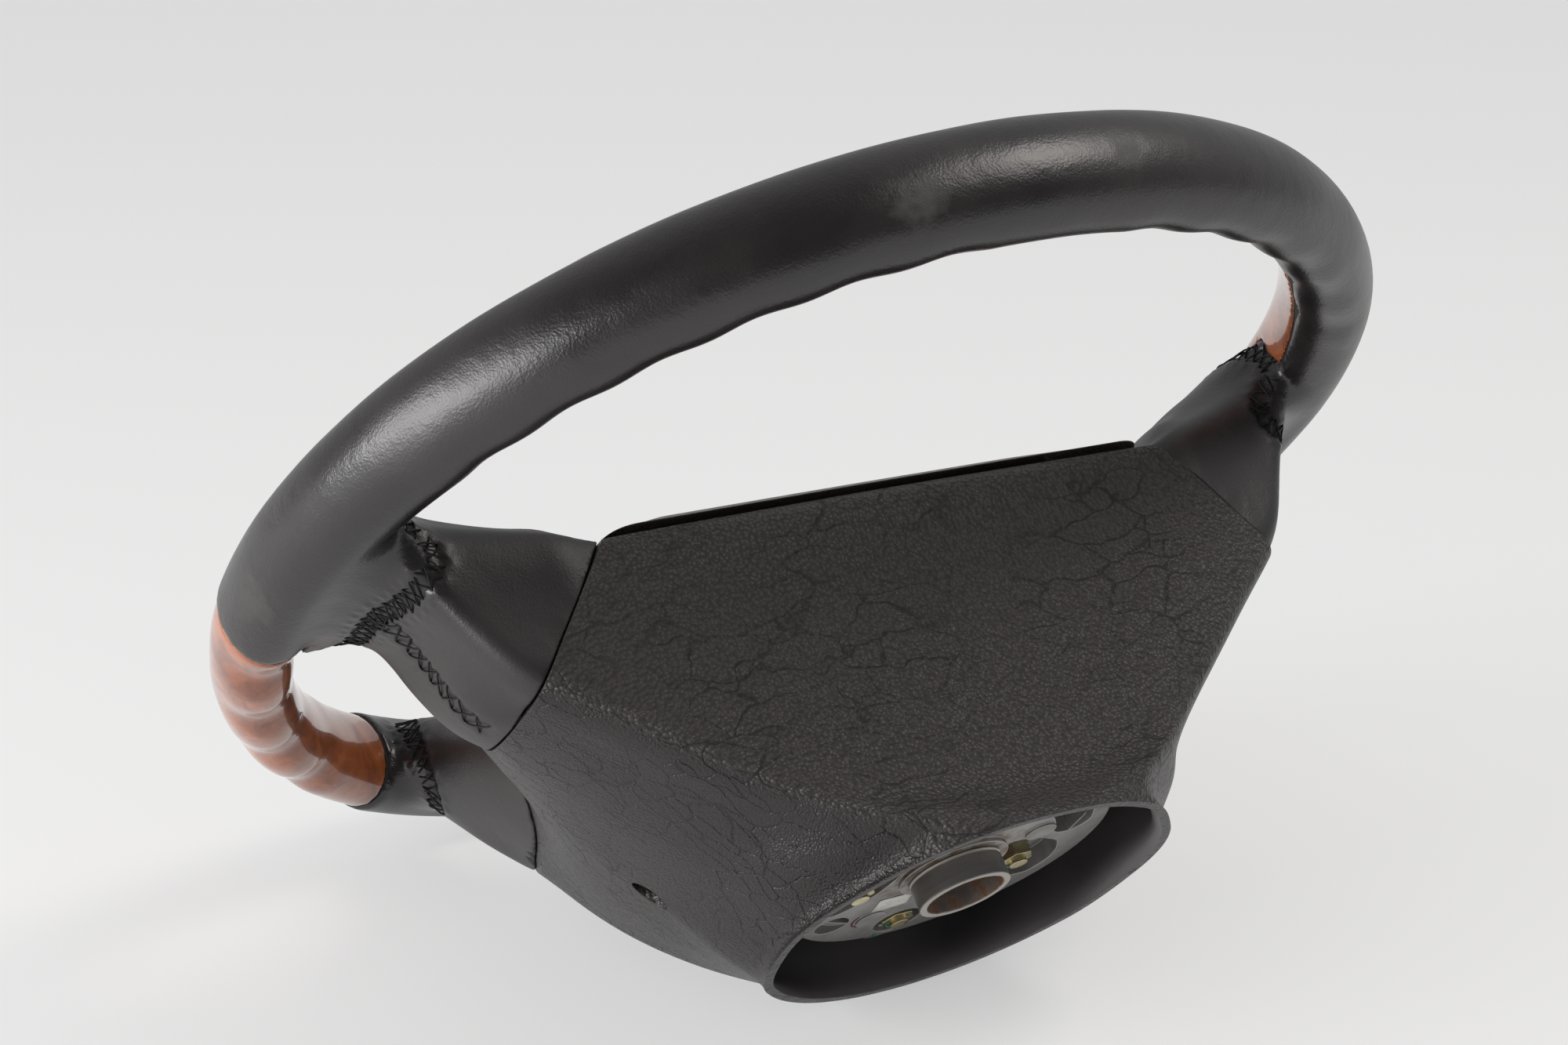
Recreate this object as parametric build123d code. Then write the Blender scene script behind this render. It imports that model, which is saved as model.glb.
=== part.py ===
from build123d import *
import os
from math import cos, hypot, radians, sin

os.makedirs("parts", exist_ok=True)

# The wheel is drawn about its steering axis, Y, with the rim's mid plane at y = 0, twelve
# o'clock up and the column behind. Every node is moved by DISH when it is written, so that
# the mouth of the column bore is the origin.
DISH = 139.5

# Rim
RIM_R = 180.4            # radius of the armature's core, and of the grip's centre line at the top
GRIP_A = 14.6            # half width of the leather grip at the top, across the rim
GRIP_B = 18.6            # half depth of the leather grip at the top, along the axis
END_R = 178.8            # the same three where the leather meets the wood, and below it
END_A = 13.4
END_B = 17.4
TAPER_FROM = 50.0        # clock angle where the grip starts to slim
LEATHER = 1.4
WOOD_STEP = 1.2          # the lacquered wood stands this much below the leather
TONGUE_STEP = 0.8        # and its tongue this much
CORE_R = 6.0
WOOD_START = 96.0        # clock angles of the wood, from twelve o'clock
WOOD_END = 143.0
TONGUE_START = 42.0      # the wood runs on along the rim's inner front side to here
FINGER_FIRST = 100.2     # clock angle of the first finger groove in the wood
FINGER_PITCH = 10.0
FINGERS = 4
FINGER_DEPTH = 2.4

# Rear cover, its seams and the spokes
WALL = 3.0
CUP_Y = 143.0            # edge of the round opening at the back
CUP_R = 66.2
FRONT_Y = 25.6           # front edge of the cover
SEAM_GAP = 0.5           # between the cover and the leather
UPPER_SEAM = (100.0, 26.0)     # x and y of two points of the upright seam plane
UPPER_SEAM_END = (132.0, 66.0)
LOWER_SEAM = (83.0, -87.0)     # x and z of two points of the lower seam plane
LOWER_SEAM_END = (65.0, -134.0)
UPPER_LACE = 152.0       # x where the upper spoke's leather is laced to the rim's
LOWER_LACE = 151.0       # distance from the axis where the lower spoke's leather is laced
LOWER_ANGLE = 151.0      # clock angle of the lower spokes

# Hub
SLEEVE_R = 14.75
SLEEVE_BORE = 12.5       # seat of the column's collar
SLEEVE_SEAT = 18.0       # depth of that seat
SPLINE_R = 8.75          # the splined bore, drawn plain
SLEEVE_FRONT = 106.0
PLATE_R = 52.0
PLATE_FRONT = 120.0
PLATE_BACK = 129.0
POCKET_FLOOR = 123.0     # the plate is recessed to here round the guide bolts

# Horn guide
TRAVEL = 2.5             # how far the pad can be pressed
CLEAR = 0.3              # between moving and fixed pieces
GUIDES = ((29.0, -10.0), (-29.0, -10.0), (0.0, -41.0))     # x and z of the guide bolts
BOLT_R = 3.0
BUSH_R = 5.0
BUSH_FLANGE = 1.2
NUT_AF = 10.0
NUT_H = 4.6
HORN_PLATE_Y = 84.0      # front face of the horn plate
HORN_PLATE_T = 3.0
SPRING_SEAT = 102.0      # front end of the guide bushes
SPRING_WIRE = 0.9

# Airbag unit
PAD_WALL = 3.0
TRAY_X = 58.0
TRAY_TOP = 42.0
TRAY_LOW = -54.0
TRAY_FRONT = 40.0
TRAY_FLOOR = 76.0        # front face of the tray's floor
TRAY_T = 2.0
CAN_R = 34.0
FLANGE_R = 45.0
STUD_XZ = 28.5           # x and z of the four studs from the middle of the tray
EAR_X = 80.0             # the two screws that hold the airbag unit
EAR_Z = -38.0
ACCESS_R = 3.8           # hole in the cover for each of these screws


def clock(radius, angle):
    """X and Z of a point at a clock angle, counted from twelve o'clock towards +X."""
    return radius * sin(radians(angle)), radius * cos(radians(angle))


def cylinder_y(radius, front, back, x=0, z=0):
    """A cylinder along the steering axis."""
    disc = Plane(origin=(x, front, z), x_dir=(1, 0, 0), z_dir=(0, 1, 0)) * Circle(radius)
    return extrude(disc, amount=back - front)


def box(x, y, z):
    """A box between three pairs of limits."""
    size = Box(x[1] - x[0], y[1] - y[0], z[1] - z[0])
    return Pos((x[0] + x[1]) / 2, (y[0] + y[1]) / 2, (z[0] + z[1]) / 2) * size


def both(solid):
    """A piece and its mirror image on the other side of the wheel."""
    return solid, mirror(solid, Plane.YZ)


def inset(points, distance):
    """A closed outline drawn in by a distance, corner by corner."""
    following = points[1:] + points[:1]
    area = sum(a[0] * b[1] - b[0] * a[1] for a, b in zip(points, following))
    side = 1 if area > 0 else -1
    moved = []
    for before, here, after in zip(points[-1:] + points[:-1], points, following):
        ax, ay = here[0] - before[0], here[1] - before[1]
        bx, by = after[0] - here[0], after[1] - here[1]
        la, lb = hypot(ax, ay), hypot(bx, by)
        nx = -ay / la - by / lb
        ny = ax / la + bx / lb
        scale = 2 * side * distance / (nx * nx + ny * ny)
        moved.append((here[0] + nx * scale, here[1] + ny * scale))
    return moved


def soft_face(plane, points, shares):
    """A face with rounded corners; each corner takes its share of the sides beside it."""
    def toward(a, b, share):
        return a[0] + (b[0] - a[0]) * share, a[1] + (b[1] - a[1]) * share

    edges = []
    for i, here in enumerate(points):
        k = (i + 1) % len(points)
        start = toward(here, points[i - 1], shares[i])
        end = toward(here, points[k], shares[i])
        edges.append(Bezier(start, here, end))
        edges.append(Line(end, toward(points[k], here, shares[k])))
    return plane * make_face(edges)


def mirrored(half):
    """A closed outline from the points on the +X side, listed from the top down."""
    return half + [(-x, z) for x, z in reversed(half)]


def level(y):
    """A plane across the steering axis, drawn in X and Z."""
    return Plane(origin=(0, y, 0), x_dir=(1, 0, 0), z_dir=(0, -1, 0))


def half_space(point, normal):
    """A large block on the far side of a plane, for cutting."""
    return extrude(Plane(origin=point, z_dir=normal) * Rectangle(900, 900), amount=500)


# The rear cover, level by level from the cup to its front edge. The corners of a level are
# the shelf's middle and end, the ridge, the flank, the crease, the hollow above the lower
# spoke, the lower spoke's keel and its inner foot.
CUP_ANGLES = (10, 24, 42, 78, 115, 135, 153, 171)


def cup_corners():
    """Corners outside the cup's circle, so far out that the softened outline lies on it."""
    corners = []
    for before, here, after in zip((-10,) + CUP_ANGLES, CUP_ANGLES, CUP_ANGLES[1:] + (189,)):
        corners.append(clock(CUP_R / cos(radians((after - before) / 4)), here))
    return corners


COVER_LEVELS = [
    (CUP_Y, cup_corners()),
    (136.0, [(14, 61), (27, 62), (38, 60), (66, 22), (63, -32), (52, -47), (35, -63), (12, -69)]),
    (126.0, [(16, 54), (36, 55), (53, 55), (74, 22), (69, -34), (58, -54), (42, -74), (14, -74)]),
    (113.0, [(20, 51), (48, 50), (73, 48), (82, 10), (75, -37), (66, -60), (52, -86), (18, -79)]),
    (98.0, [(20, 50), (62, 49), (93, 45), (96, 5), (85, -38), (75, -66), (61, -97), (24, -86)]),
    (83.0, [(20, 50), (76, 49), (112, 44), (111, 5), (97, -36), (82, -72), (66, -108), (28, -91)]),
    (66.0, [(20, 50), (90, 49), (134, 43), (129, 4), (108, -35), (87, -72), (68, -124), (32, -98)]),
    (48.0, [(20, 50), (100, 49), (147, 43), (137, -2), (117, -35), (91, -64), (71, -142), (37, -105)]),
    (FRONT_Y, [(20, 51.5), (104, 50), (157, 43), (148, -5), (127, -34), (92, -62), (80, -159), (44, -110)]),
]
COVER_SOFT = [0.4, 0.35, 0.3, 0.4, 0.1, 0.4, 0.3, 0.35]
COVER_ROUND = {CUP_Y: 0.46, 136.0: 0.4, 126.0: 0.25}     # levels where no corner is sharper than this

# The upper spoke on the +X side: x, then the front top, top, ridge, lower back, bottom and
# front bottom corners as (y, z).
UPPER_STATIONS = [
    (98.0, [(22, 40), (25.5, 50), (93, 45), (84, -10), (66, -38), (22, -30)]),
    (109.0, [(14, 36), (23, 50), (85, 44), (75, -8), (56, -37), (14, -29)]),
    (120.0, [(8, 33), (19.5, 49), (77, 44), (66, -6), (46, -36), (8, -28)]),
    (129.0, [(3, 29), (17, 47.5), (71, 43), (57, -3), (37, -32), (3, -26)]),
    (138.0, [(-2, 27), (14.5, 46), (62, 43), (47, 1), (29, -27), (-1, -24)]),
    (145.0, [(-5, 28), (12, 45), (51, 43), (36, 5), (22, -21), (-4, -21)]),
    (151.0, [(-8, 32), (10, 46), (39, 43), (27, 6), (16, -19), (-7, -21)]),
    (159.0, [(-10, 42), (7, 52), (25, 41), (20, 3), (12, -25), (-9, -26)]),
    (168.0, [(-10, 54), (5, 61), (17, 40), (16, -2), (8, -35), (-9, -36)]),
    (176.0, [(-9, 64), (4, 69), (13, 40), (13, -6), (5, -46), (-8, -46)]),
]
UPPER_SOFT = [0.35, 0.25, 0.3, 0.4, 0.3, 0.4]

# The lower spoke on the +X side: distance from the axis along its own clock angle, then
# corners as (across, y), with across positive towards the upper spoke.
LOWER_STATIONS = [
    (98.0, [(-26, 34), (-14, 106), (10, 108), (44, 74), (49, 36), (38, 20), (-16, 20)]),
    (112.0, [(-26, 30), (-14, 90), (8, 92), (36, 64), (41, 32), (30, 14), (-16, 14)]),
    (123.0, [(-25, 28), (-14, 78), (4, 81), (30, 55), (36, 26), (26, 9), (-16, 9)]),
    (134.0, [(-24, 26), (-14, 67), (0, 70), (24, 46), (31, 20), (22, 4), (-16, 4)]),
    (148.0, [(-22, 22), (-13, 51), (0, 54), (17, 34), (23, 14), (16, -3), (-16, -3)]),
    (165.0, [(-22, 10), (-10, 28), (2, 29), (13, 20), (21, 6), (16, -9), (-18, -9)]),
    (176.0, [(-28, 4), (-14, 15), (2, 16), (14, 14), (21, 4), (18, -10), (-26, -10)]),
]
LOWER_SOFT = [0.4, 0.3, 0.3, 0.4, 0.4, 0.4, 0.4]

# The pad's outline at its rear edge, and its front as depths with the share of that outline.
PAD_EDGE = FRONT_Y - TRAVEL - CLEAR
PAD_HALF = [(20, 51), (96.5, 50.5), (96.5, -30), (90, -62), (64, -133), (42, -110)]
PAD_SOFT = [0.4, 0.14, 0.35, 0.4, 0.3, 0.35]
PAD_MIDDLE = -40.0
PAD_DOME = [(PAD_EDGE, 1.0), (19.4, 0.92), (13.4, 0.79), (8.9, 0.69), (5.9, 0.6), (4.4, 0.5)]


def cover_skin(depth):
    """The rear cover's outer form, drawn in by a depth."""
    faces = []
    for y, half in COVER_LEVELS:
        soft = [max(share, COVER_ROUND.get(y, 0)) for share in COVER_SOFT]
        faces.append(soft_face(level(y), inset(mirrored(half), depth), soft + soft[::-1]))
    return loft(faces)


def upper_spoke(depth):
    """The upper spoke on the +X side, drawn in by a depth and not yet cut at its seam."""
    faces = []
    for x, corners in UPPER_STATIONS:
        plane = Plane(origin=(x, 0, 0), x_dir=(0, 1, 0), z_dir=(1, 0, 0))
        faces.append(soft_face(plane, inset(corners, depth), UPPER_SOFT))
    return loft(faces)


def lower_plane(distance):
    """A plane across the lower spoke at a distance from the axis."""
    x, z = clock(1, LOWER_ANGLE)
    return Plane(origin=(distance * x, 0, distance * z), x_dir=(-z, 0, x), z_dir=(-x, 0, -z))


def lower_spoke(depth):
    """The lower spoke on the +X side, drawn in by a depth and not yet cut at its seam."""
    faces = []
    for distance, corners in LOWER_STATIONS:
        faces.append(soft_face(lower_plane(distance), inset(corners, depth), LOWER_SOFT))
    return loft(faces)


def grip(angle):
    """Half width, half depth and centre radius of the leather grip at a clock angle."""
    share = (abs(angle) - TAPER_FROM) / (WOOD_START - TAPER_FROM)
    share = min(max(share, 0.0), 1.0)
    share = share * share * (3 - 2 * share)
    return (
        GRIP_A + (END_A - GRIP_A) * share,
        GRIP_B + (END_B - GRIP_B) * share,
        RIM_R + (END_R - RIM_R) * share,
    )


def finger(angle):
    """Depth of the finger grooves in the wood's back at a clock angle."""
    turn = (angle - FINGER_FIRST) / FINGER_PITCH
    if turn < -0.5 or turn > FINGERS - 0.5:
        return 0.0
    return FINGER_DEPTH * (0.5 + 0.5 * cos(radians(360 * turn))) ** 1.5


def rim_piece(start, end, steps, depth, grooves=0):
    """Part of the rim between two clock angles, drawn in by a depth."""
    faces = []
    for i in range(steps + 1):
        angle = start + (end - start) * i / steps
        a, b, radius = grip(angle)
        cut = grooves * finger(angle)
        x, z = clock(radius, angle)
        out = clock(1, angle)
        plane = Plane(origin=(x, -cut / 2, z), x_dir=(out[0], 0, out[1]), z_dir=(out[1], 0, -out[0]))
        faces.append(plane * Ellipse(a - depth, b - depth - cut / 2))
    return loft(faces)


def tongue_space():
    """The inner front part of the rim, on the +X side, that the wood's tongue takes."""
    outline = [
        (8.0, RIM_R - GRIP_A - 8),
        (8.0, RIM_R - GRIP_A),
        (-GRIP_B, RIM_R + 5),
        (-GRIP_B - 8, RIM_R + 5),
        (-GRIP_B - 8, RIM_R - GRIP_A - 8),
    ]
    section = Plane.YZ * make_face(Polyline(*outline, close=True))
    turned = Rot(0, TONGUE_START, 0) * section
    return revolve(turned, Axis.Y, revolution_arc=WOOD_START - TONGUE_START)


# Cutting blocks of the two seams. The upper seam plane is upright, the lower one runs along Y.
seam_x, seam_y = UPPER_SEAM
run_x, run_y = UPPER_SEAM_END[0] - seam_x, UPPER_SEAM_END[1] - seam_y
upper_out = Vector(run_y, -run_x, 0).normalized()
low_x, low_z = LOWER_SEAM
fall_x, fall_z = LOWER_SEAM_END[0] - low_x, LOWER_SEAM_END[1] - low_z
lower_out = Vector(-fall_z, 0, fall_x).normalized()
upper_point = Vector(seam_x, seam_y, 0)
lower_point = Vector(low_x, 0, low_z)


def hub_side_upper(gap):
    return half_space(upper_point + upper_out * gap, -upper_out)


def hub_side_lower(gap):
    return half_space(lower_point + lower_out * gap, -lower_out)


# Armature: one casting of hub plate, four arms and the rim's core
core = revolve(Plane.YZ * Pos(0, RIM_R) * Circle(CORE_R), Axis.Y)
UPPER_ARM = [(40, 123, 1, 6, 17), (75, 91, 3, 7, 14), (120, 43, 8, 7, 11), (150, 14, 12, 6, 9),
             (178, 0, 13, 5, 8)]
arm_faces = []
for x, y, z, half_y, half_z in UPPER_ARM:
    plane = Plane(origin=(x, y, z), x_dir=(0, 1, 0), z_dir=(1, 0, 0))
    arm_faces.append(plane * Rectangle(2 * half_y, 2 * half_z))
upper_arm = loft(arm_faces)
LOWER_ARM = [(40, 123, 6, 15), (80, 94, 7, 12), (118, 56, 7, 10), (148, 31, 4.5, 7), (177, 0, 5, 7)]
arm_faces = []
for distance, y, half_y, half_across in LOWER_ARM:
    arm_faces.append(lower_plane(distance) * Pos(2, y) * Rectangle(2 * half_across, 2 * half_y))
lower_arm = loft(arm_faces)

plate = cylinder_y(PLATE_R, PLATE_FRONT, PLATE_BACK)
plate -= box((-60, 60), (100, 140), (44, 70))
plate += cylinder_y(SLEEVE_R + 3, SLEEVE_FRONT, PLATE_BACK + 1.5)
# Kidney openings between the arms, each a slot bent round the axis
KIDNEYS = ((-139, 1, 37.5, 48.5), (139, 1, 37.5, 48.5), (0, 26, 34.0, 46.5), (62, 10, 34.0, 46.5),
           (-62, 10, 34.0, 46.5))
for centre, half_turn, inner, outer in KIDNEYS:
    middle, radius = (inner + outer) / 2, (outer - inner) / 2
    sector = Plane.YZ * Pos((PLATE_FRONT + PLATE_BACK) / 2, middle) * Rectangle(30, outer - inner)
    slot = revolve(Rot(0, centre - half_turn, 0) * sector, Axis.Y, revolution_arc=2 * half_turn)
    for end in (centre - half_turn, centre + half_turn):
        x, z = clock(middle, end)
        slot += cylinder_y(radius, PLATE_FRONT - 10, PLATE_BACK + 10, x, z)
    if abs(centre) < 90:
        slot &= box((-60, 60), (90, 150), (-60, 40))
    plate -= slot
PADS = ((26.0, 12.5), (-26.0, 12.5), (14.0, -33.0), (-14.0, -33.0))
for x, z in PADS:
    plate += cylinder_y(5, PLATE_FRONT, PLATE_BACK + 0.8, x, z)
armature = plate + core
for arm in both(upper_arm) + both(lower_arm):
    armature += arm
armature -= cylinder_y(SLEEVE_R, SLEEVE_FRONT - 30, CUP_Y)
# Pockets for the nuts of the horn guide, one at each side and one below
SIDE_POCKET = [(18.5, 0), (17.5, 7.5), (27, 7), (39, 0), (43, -8), (44, -16), (40, -24), (30, -23.5),
               (21, -13)]
side_face = soft_face(level(CUP_Y), SIDE_POCKET, [0.3] * len(SIDE_POCKET))
for pocket in both(extrude(side_face, amount=CUP_Y - POCKET_FLOOR)):
    armature -= pocket
armature -= cylinder_y(8, POCKET_FLOOR, CUP_Y, GUIDES[2][0], GUIDES[2][1] - 0.5)
for x, z in GUIDES:
    armature -= cylinder_y(BUSH_R, 90, CUP_Y, x, z)

hub_sleeve = cylinder_y(SLEEVE_R, SLEEVE_FRONT, DISH)
hub_sleeve += cylinder_y(SLEEVE_R + 1.5, SLEEVE_FRONT - 3, SLEEVE_FRONT)
hub_sleeve -= cylinder_y(SLEEVE_BORE, DISH - SLEEVE_SEAT, DISH)
hub_sleeve -= cylinder_y(SPLINE_R, SLEEVE_FRONT - 3, DISH)
groove = cylinder_y(SLEEVE_R, DISH - 8.4, DISH - 7.6) - cylinder_y(SLEEVE_R - 0.5, DISH - 8.4, DISH - 7.6)
hub_sleeve -= groove

# Foam, leather and wood of the upper part of the rim, with the upper spokes
upper_outer = upper_spoke(0) - hub_side_upper(SEAM_GAP)
upper_inner = upper_spoke(LEATHER) - hub_side_upper(SEAM_GAP)
top_outer = rim_piece(-WOOD_START, WOOD_START, 24, 0)
top_inner = rim_piece(-WOOD_START, WOOD_START, 24, LEATHER)
for spoke in both(upper_outer):
    top_outer += spoke
for spoke in both(upper_inner):
    top_inner += spoke
tongue = tongue_space() - upper_outer
skin = top_outer - top_inner
wood_space = tongue + rim_piece(WOOD_START, WOOD_END, 12, 0)
for space in both(wood_space):
    skin -= space
    top_inner -= space
lace_box = box((80, UPPER_LACE), (-60, 140), (-62, 62))
upper_leather = skin & lace_box
rim_leather_upper = skin
for space in both(lace_box):
    rim_leather_upper -= space
foam_upper = top_inner - armature

wood = rim_piece(WOOD_START, WOOD_END, 38, WOOD_STEP, grooves=1)
wood += rim_piece(TONGUE_START, WOOD_START, 7, TONGUE_STEP) & tongue
wood -= core

# The same of the lower part
lower_outer = lower_spoke(0) - hub_side_lower(SEAM_GAP)
lower_inner = lower_spoke(LEATHER) - hub_side_lower(SEAM_GAP)
low_outer = rim_piece(WOOD_END, 360 - WOOD_END, 10, 0)
low_inner = rim_piece(WOOD_END, 360 - WOOD_END, 10, LEATHER)
for spoke in both(lower_outer):
    low_outer += spoke
for spoke in both(lower_inner):
    low_inner += spoke
low_skin = low_outer - low_inner
lace_block = extrude(lower_plane(LOWER_LACE) * Pos(0, 20) * Rectangle(110, 160), amount=80)
lower_leather = low_skin & lace_block
rim_leather_lower = low_skin
for space in both(lace_block):
    rim_leather_lower -= space
foam_lower = low_inner - armature

# Rear cover
cover = cover_skin(0) - cover_skin(WALL)
for block in both(half_space(upper_point, upper_out)):
    cover -= block
below = box((-300, 300), (-50, 200), (-300, -64))
for block in both(half_space(lower_point, lower_out) & below):
    cover -= block
ear_hole = cylinder_y(ACCESS_R, HORN_PLATE_Y - 8, CUP_Y, EAR_X, EAR_Z)
for hole in both(ear_hole):
    cover -= hole

# Tabs inside the cover, screwed to lugs on the hub plate
TAB_SCREWS = (38.0, -38.0, 180.0)
LUG_R = 54.0
cover_screws = []
for angle in TAB_SCREWS:
    x, z = clock(LUG_R, angle)
    armature += cylinder_y(5.5, PLATE_FRONT, PLATE_FRONT + 7, x, z)
    middle_x, middle_z = clock(LUG_R + 10, angle)
    tab = Pos(middle_x, PLATE_FRONT - 2, middle_z) * Rot(0, angle, 0) * Box(15, 4, 32)
    cover += tab & cover_skin(WALL / 2)
    screw = cylinder_y(4, PLATE_FRONT - 7, PLATE_FRONT - 4, x, z)
    screw += cylinder_y(2.5, PLATE_FRONT - 4, PLATE_FRONT + 6, x, z)
    cover -= screw
    armature -= screw
    cover_screws.append(screw)

# Horn guide: bushes in the hub plate, bolts through them from the horn plate, springs between
plate_back = HORN_PLATE_Y + HORN_PLATE_T
flange_back = POCKET_FLOOR + BUSH_FLANGE
nut_front = flange_back + CLEAR
hexagon = RegularPolygon(NUT_AF / 2, 6, major_radius=False)
coil_length = SPRING_SEAT - plate_back - 2 * SPRING_WIRE
coil_path = Helix(pitch=coil_length / 3.5, height=coil_length, radius=BUSH_R + 1.2)
coil_wire = Plane(origin=coil_path @ 0, z_dir=coil_path % 0) * RegularPolygon(SPRING_WIRE, 6)
coil = Rot(-90, 0, 0) * sweep(coil_wire, path=coil_path, is_frenet=True)
bushes, bolts, nuts, springs = [], [], [], []
for x, z in GUIDES:
    bush = cylinder_y(BUSH_R, SPRING_SEAT, POCKET_FLOOR, x, z)
    bush += cylinder_y(BUSH_R + 1.6, POCKET_FLOOR, flange_back, x, z)
    bush += cylinder_y(BUSH_R + 2.6, SPRING_SEAT, SPRING_SEAT + 2, x, z)
    bushes.append(bush - cylinder_y(BOLT_R + CLEAR, 90, CUP_Y, x, z))
    head = extrude(level(HORN_PLATE_Y) * Pos(x, z) * hexagon, amount=4)
    bolts.append(head + cylinder_y(BOLT_R, HORN_PLATE_Y, nut_front + NUT_H + 1.6, x, z))
    nut = extrude(level(nut_front + NUT_H) * Pos(x, z) * hexagon, amount=NUT_H)
    nuts.append(nut - cylinder_y(BOLT_R, 90, CUP_Y, x, z))
    springs.append(Pos(x, plate_back + SPRING_WIRE, z) * coil)

contacts = []
contact_tip = plate_back + TRAVEL + CLEAR
for z in (30.0, -24.0):
    contact = cylinder_y(3, contact_tip, PLATE_FRONT, 0, z)
    contacts.append(contact + cylinder_y(4, PLATE_FRONT - 5, PLATE_FRONT, 0, z))

# Horn plate with two ears for the airbag unit's screws
horn_plate = cylinder_y(38, HORN_PLATE_Y, plate_back)
for side in (-1, 1):
    ear = Plane(origin=(0, HORN_PLATE_Y, 0), x_dir=(side * EAR_X, 0, EAR_Z), z_dir=(0, 1, 0))
    reach = hypot(EAR_X, EAR_Z)
    horn_plate += extrude(ear * Pos(reach / 2, 0) * Rectangle(reach, 15), amount=HORN_PLATE_T)
    horn_plate += cylinder_y(7.5, HORN_PLATE_Y, plate_back, side * EAR_X, EAR_Z)
for x, z in GUIDES:
    horn_plate += cylinder_y(9, HORN_PLATE_Y, plate_back, x, z)
horn_plate -= cylinder_y(13, 0, CUP_Y)
for x, z in GUIDES:
    horn_plate -= cylinder_y(BOLT_R, HORN_PLATE_Y - 1, CUP_Y, x, z)

# Airbag unit: tray, gas generator, retaining ring with studs and nuts, plug, folded bag
floor_back = TRAY_FLOOR + TRAY_T
tray_mid = (TRAY_TOP + TRAY_LOW) / 2
inside_x, inside_z = TRAY_X - TRAY_T, (TRAY_LOW + TRAY_T, TRAY_TOP - TRAY_T)
tray = box((-TRAY_X, TRAY_X), (TRAY_FRONT, floor_back), (TRAY_LOW, TRAY_TOP))
tray -= box((-inside_x, inside_x), (TRAY_FRONT, TRAY_FLOOR), inside_z)
for side in (-1, 1):
    reach = sorted((side * (TRAY_X - 1), side * EAR_X))
    tray += box(reach, (TRAY_FLOOR, floor_back), (EAR_Z - 7, EAR_Z + 7))
    tray += cylinder_y(7, TRAY_FLOOR, HORN_PLATE_Y, side * EAR_X, EAR_Z)
tray -= cylinder_y(10, TRAY_FLOOR - 1, 90, 0, tray_mid)

flange_front = TRAY_FLOOR - 2.5
inflator = cylinder_y(CAN_R, 50, flange_front, 0, tray_mid)
inflator = fillet(inflator.edges().filter_by(GeomType.CIRCLE).sort_by(Axis.Y)[0], 5)
inflator += cylinder_y(FLANGE_R, flange_front, TRAY_FLOOR, 0, tray_mid)
ring = RectangleRounded(2 * FLANGE_R - 8, 2 * FLANGE_R - 8, 14) - Circle(CAN_R + 1)
retainer = extrude(level(flange_front) * Pos(0, tray_mid) * ring, amount=2)
stud_nuts = []
stud_hexagon = RegularPolygon(4, 6, major_radius=False)
for side_x in (-1, 1):
    for side_z in (-1, 1):
        x, z = side_x * STUD_XZ, tray_mid + side_z * STUD_XZ
        stud = cylinder_y(2.5, flange_front - 1, HORN_PLATE_Y - 1, x, z)
        inflator -= stud
        tray -= stud
        retainer += stud
        nut = extrude(level(floor_back + 4) * Pos(x, z) * stud_hexagon, amount=4)
        stud_nuts.append(nut - stud)
plug = cylinder_y(8, TRAY_FLOOR, HORN_PLATE_Y - 1, 0, tray_mid)
plug += cylinder_y(5, HORN_PLATE_Y - 1, plate_back + 3, 0, tray_mid)

bag_x = inside_x - 1.5
bag_back = flange_front - 2 - CLEAR
bag = box((-bag_x, bag_x), (32, bag_back), (inside_z[0] + 1.5, inside_z[1] - 1.5))
bag = fillet(bag.edges(), 5)
bag -= cylinder_y(CAN_R + 1.5, 46, 90, 0, tray_mid)

airbag_screws = []
for side in (-1, 1):
    head = cylinder_y(5, plate_back, plate_back + 4, side * EAR_X, EAR_Z)
    screw = head + cylinder_y(2.5, TRAY_FLOOR + 0.5, plate_back, side * EAR_X, EAR_Z)
    airbag_screws.append(screw)
    horn_plate -= screw
    tray -= screw


def pad_form(depth):
    """The pad's form, drawn in by a depth."""
    faces = []
    for y, share in PAD_DOME:
        half = [(x * share, PAD_MIDDLE + (z - PAD_MIDDLE) * share) for x, z in PAD_HALF]
        outline = inset(mirrored(half), depth)
        faces.append(soft_face(level(y + depth), outline, PAD_SOFT + PAD_SOFT[::-1]))
    return loft(faces)


# Pad: a domed shell with a frame inside that clips round the tray
inner_form = pad_form(PAD_WALL)
rear_edge = box((-200, 200), (PAD_EDGE, 90), (-200, 200))
pad = pad_form(0) - inner_form
frame_x, frame_z = TRAY_X + CLEAR, (TRAY_LOW - CLEAR, TRAY_TOP + CLEAR)
rib = box((-frame_x - 2.5, frame_x + 2.5), (10, TRAY_FRONT + 12), (frame_z[0] - 2.5, frame_z[1] + 2.5))
rib -= box((-frame_x, frame_x), (0, 90), frame_z)
pad += rib & (pad_form(1) + rear_edge)

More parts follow.
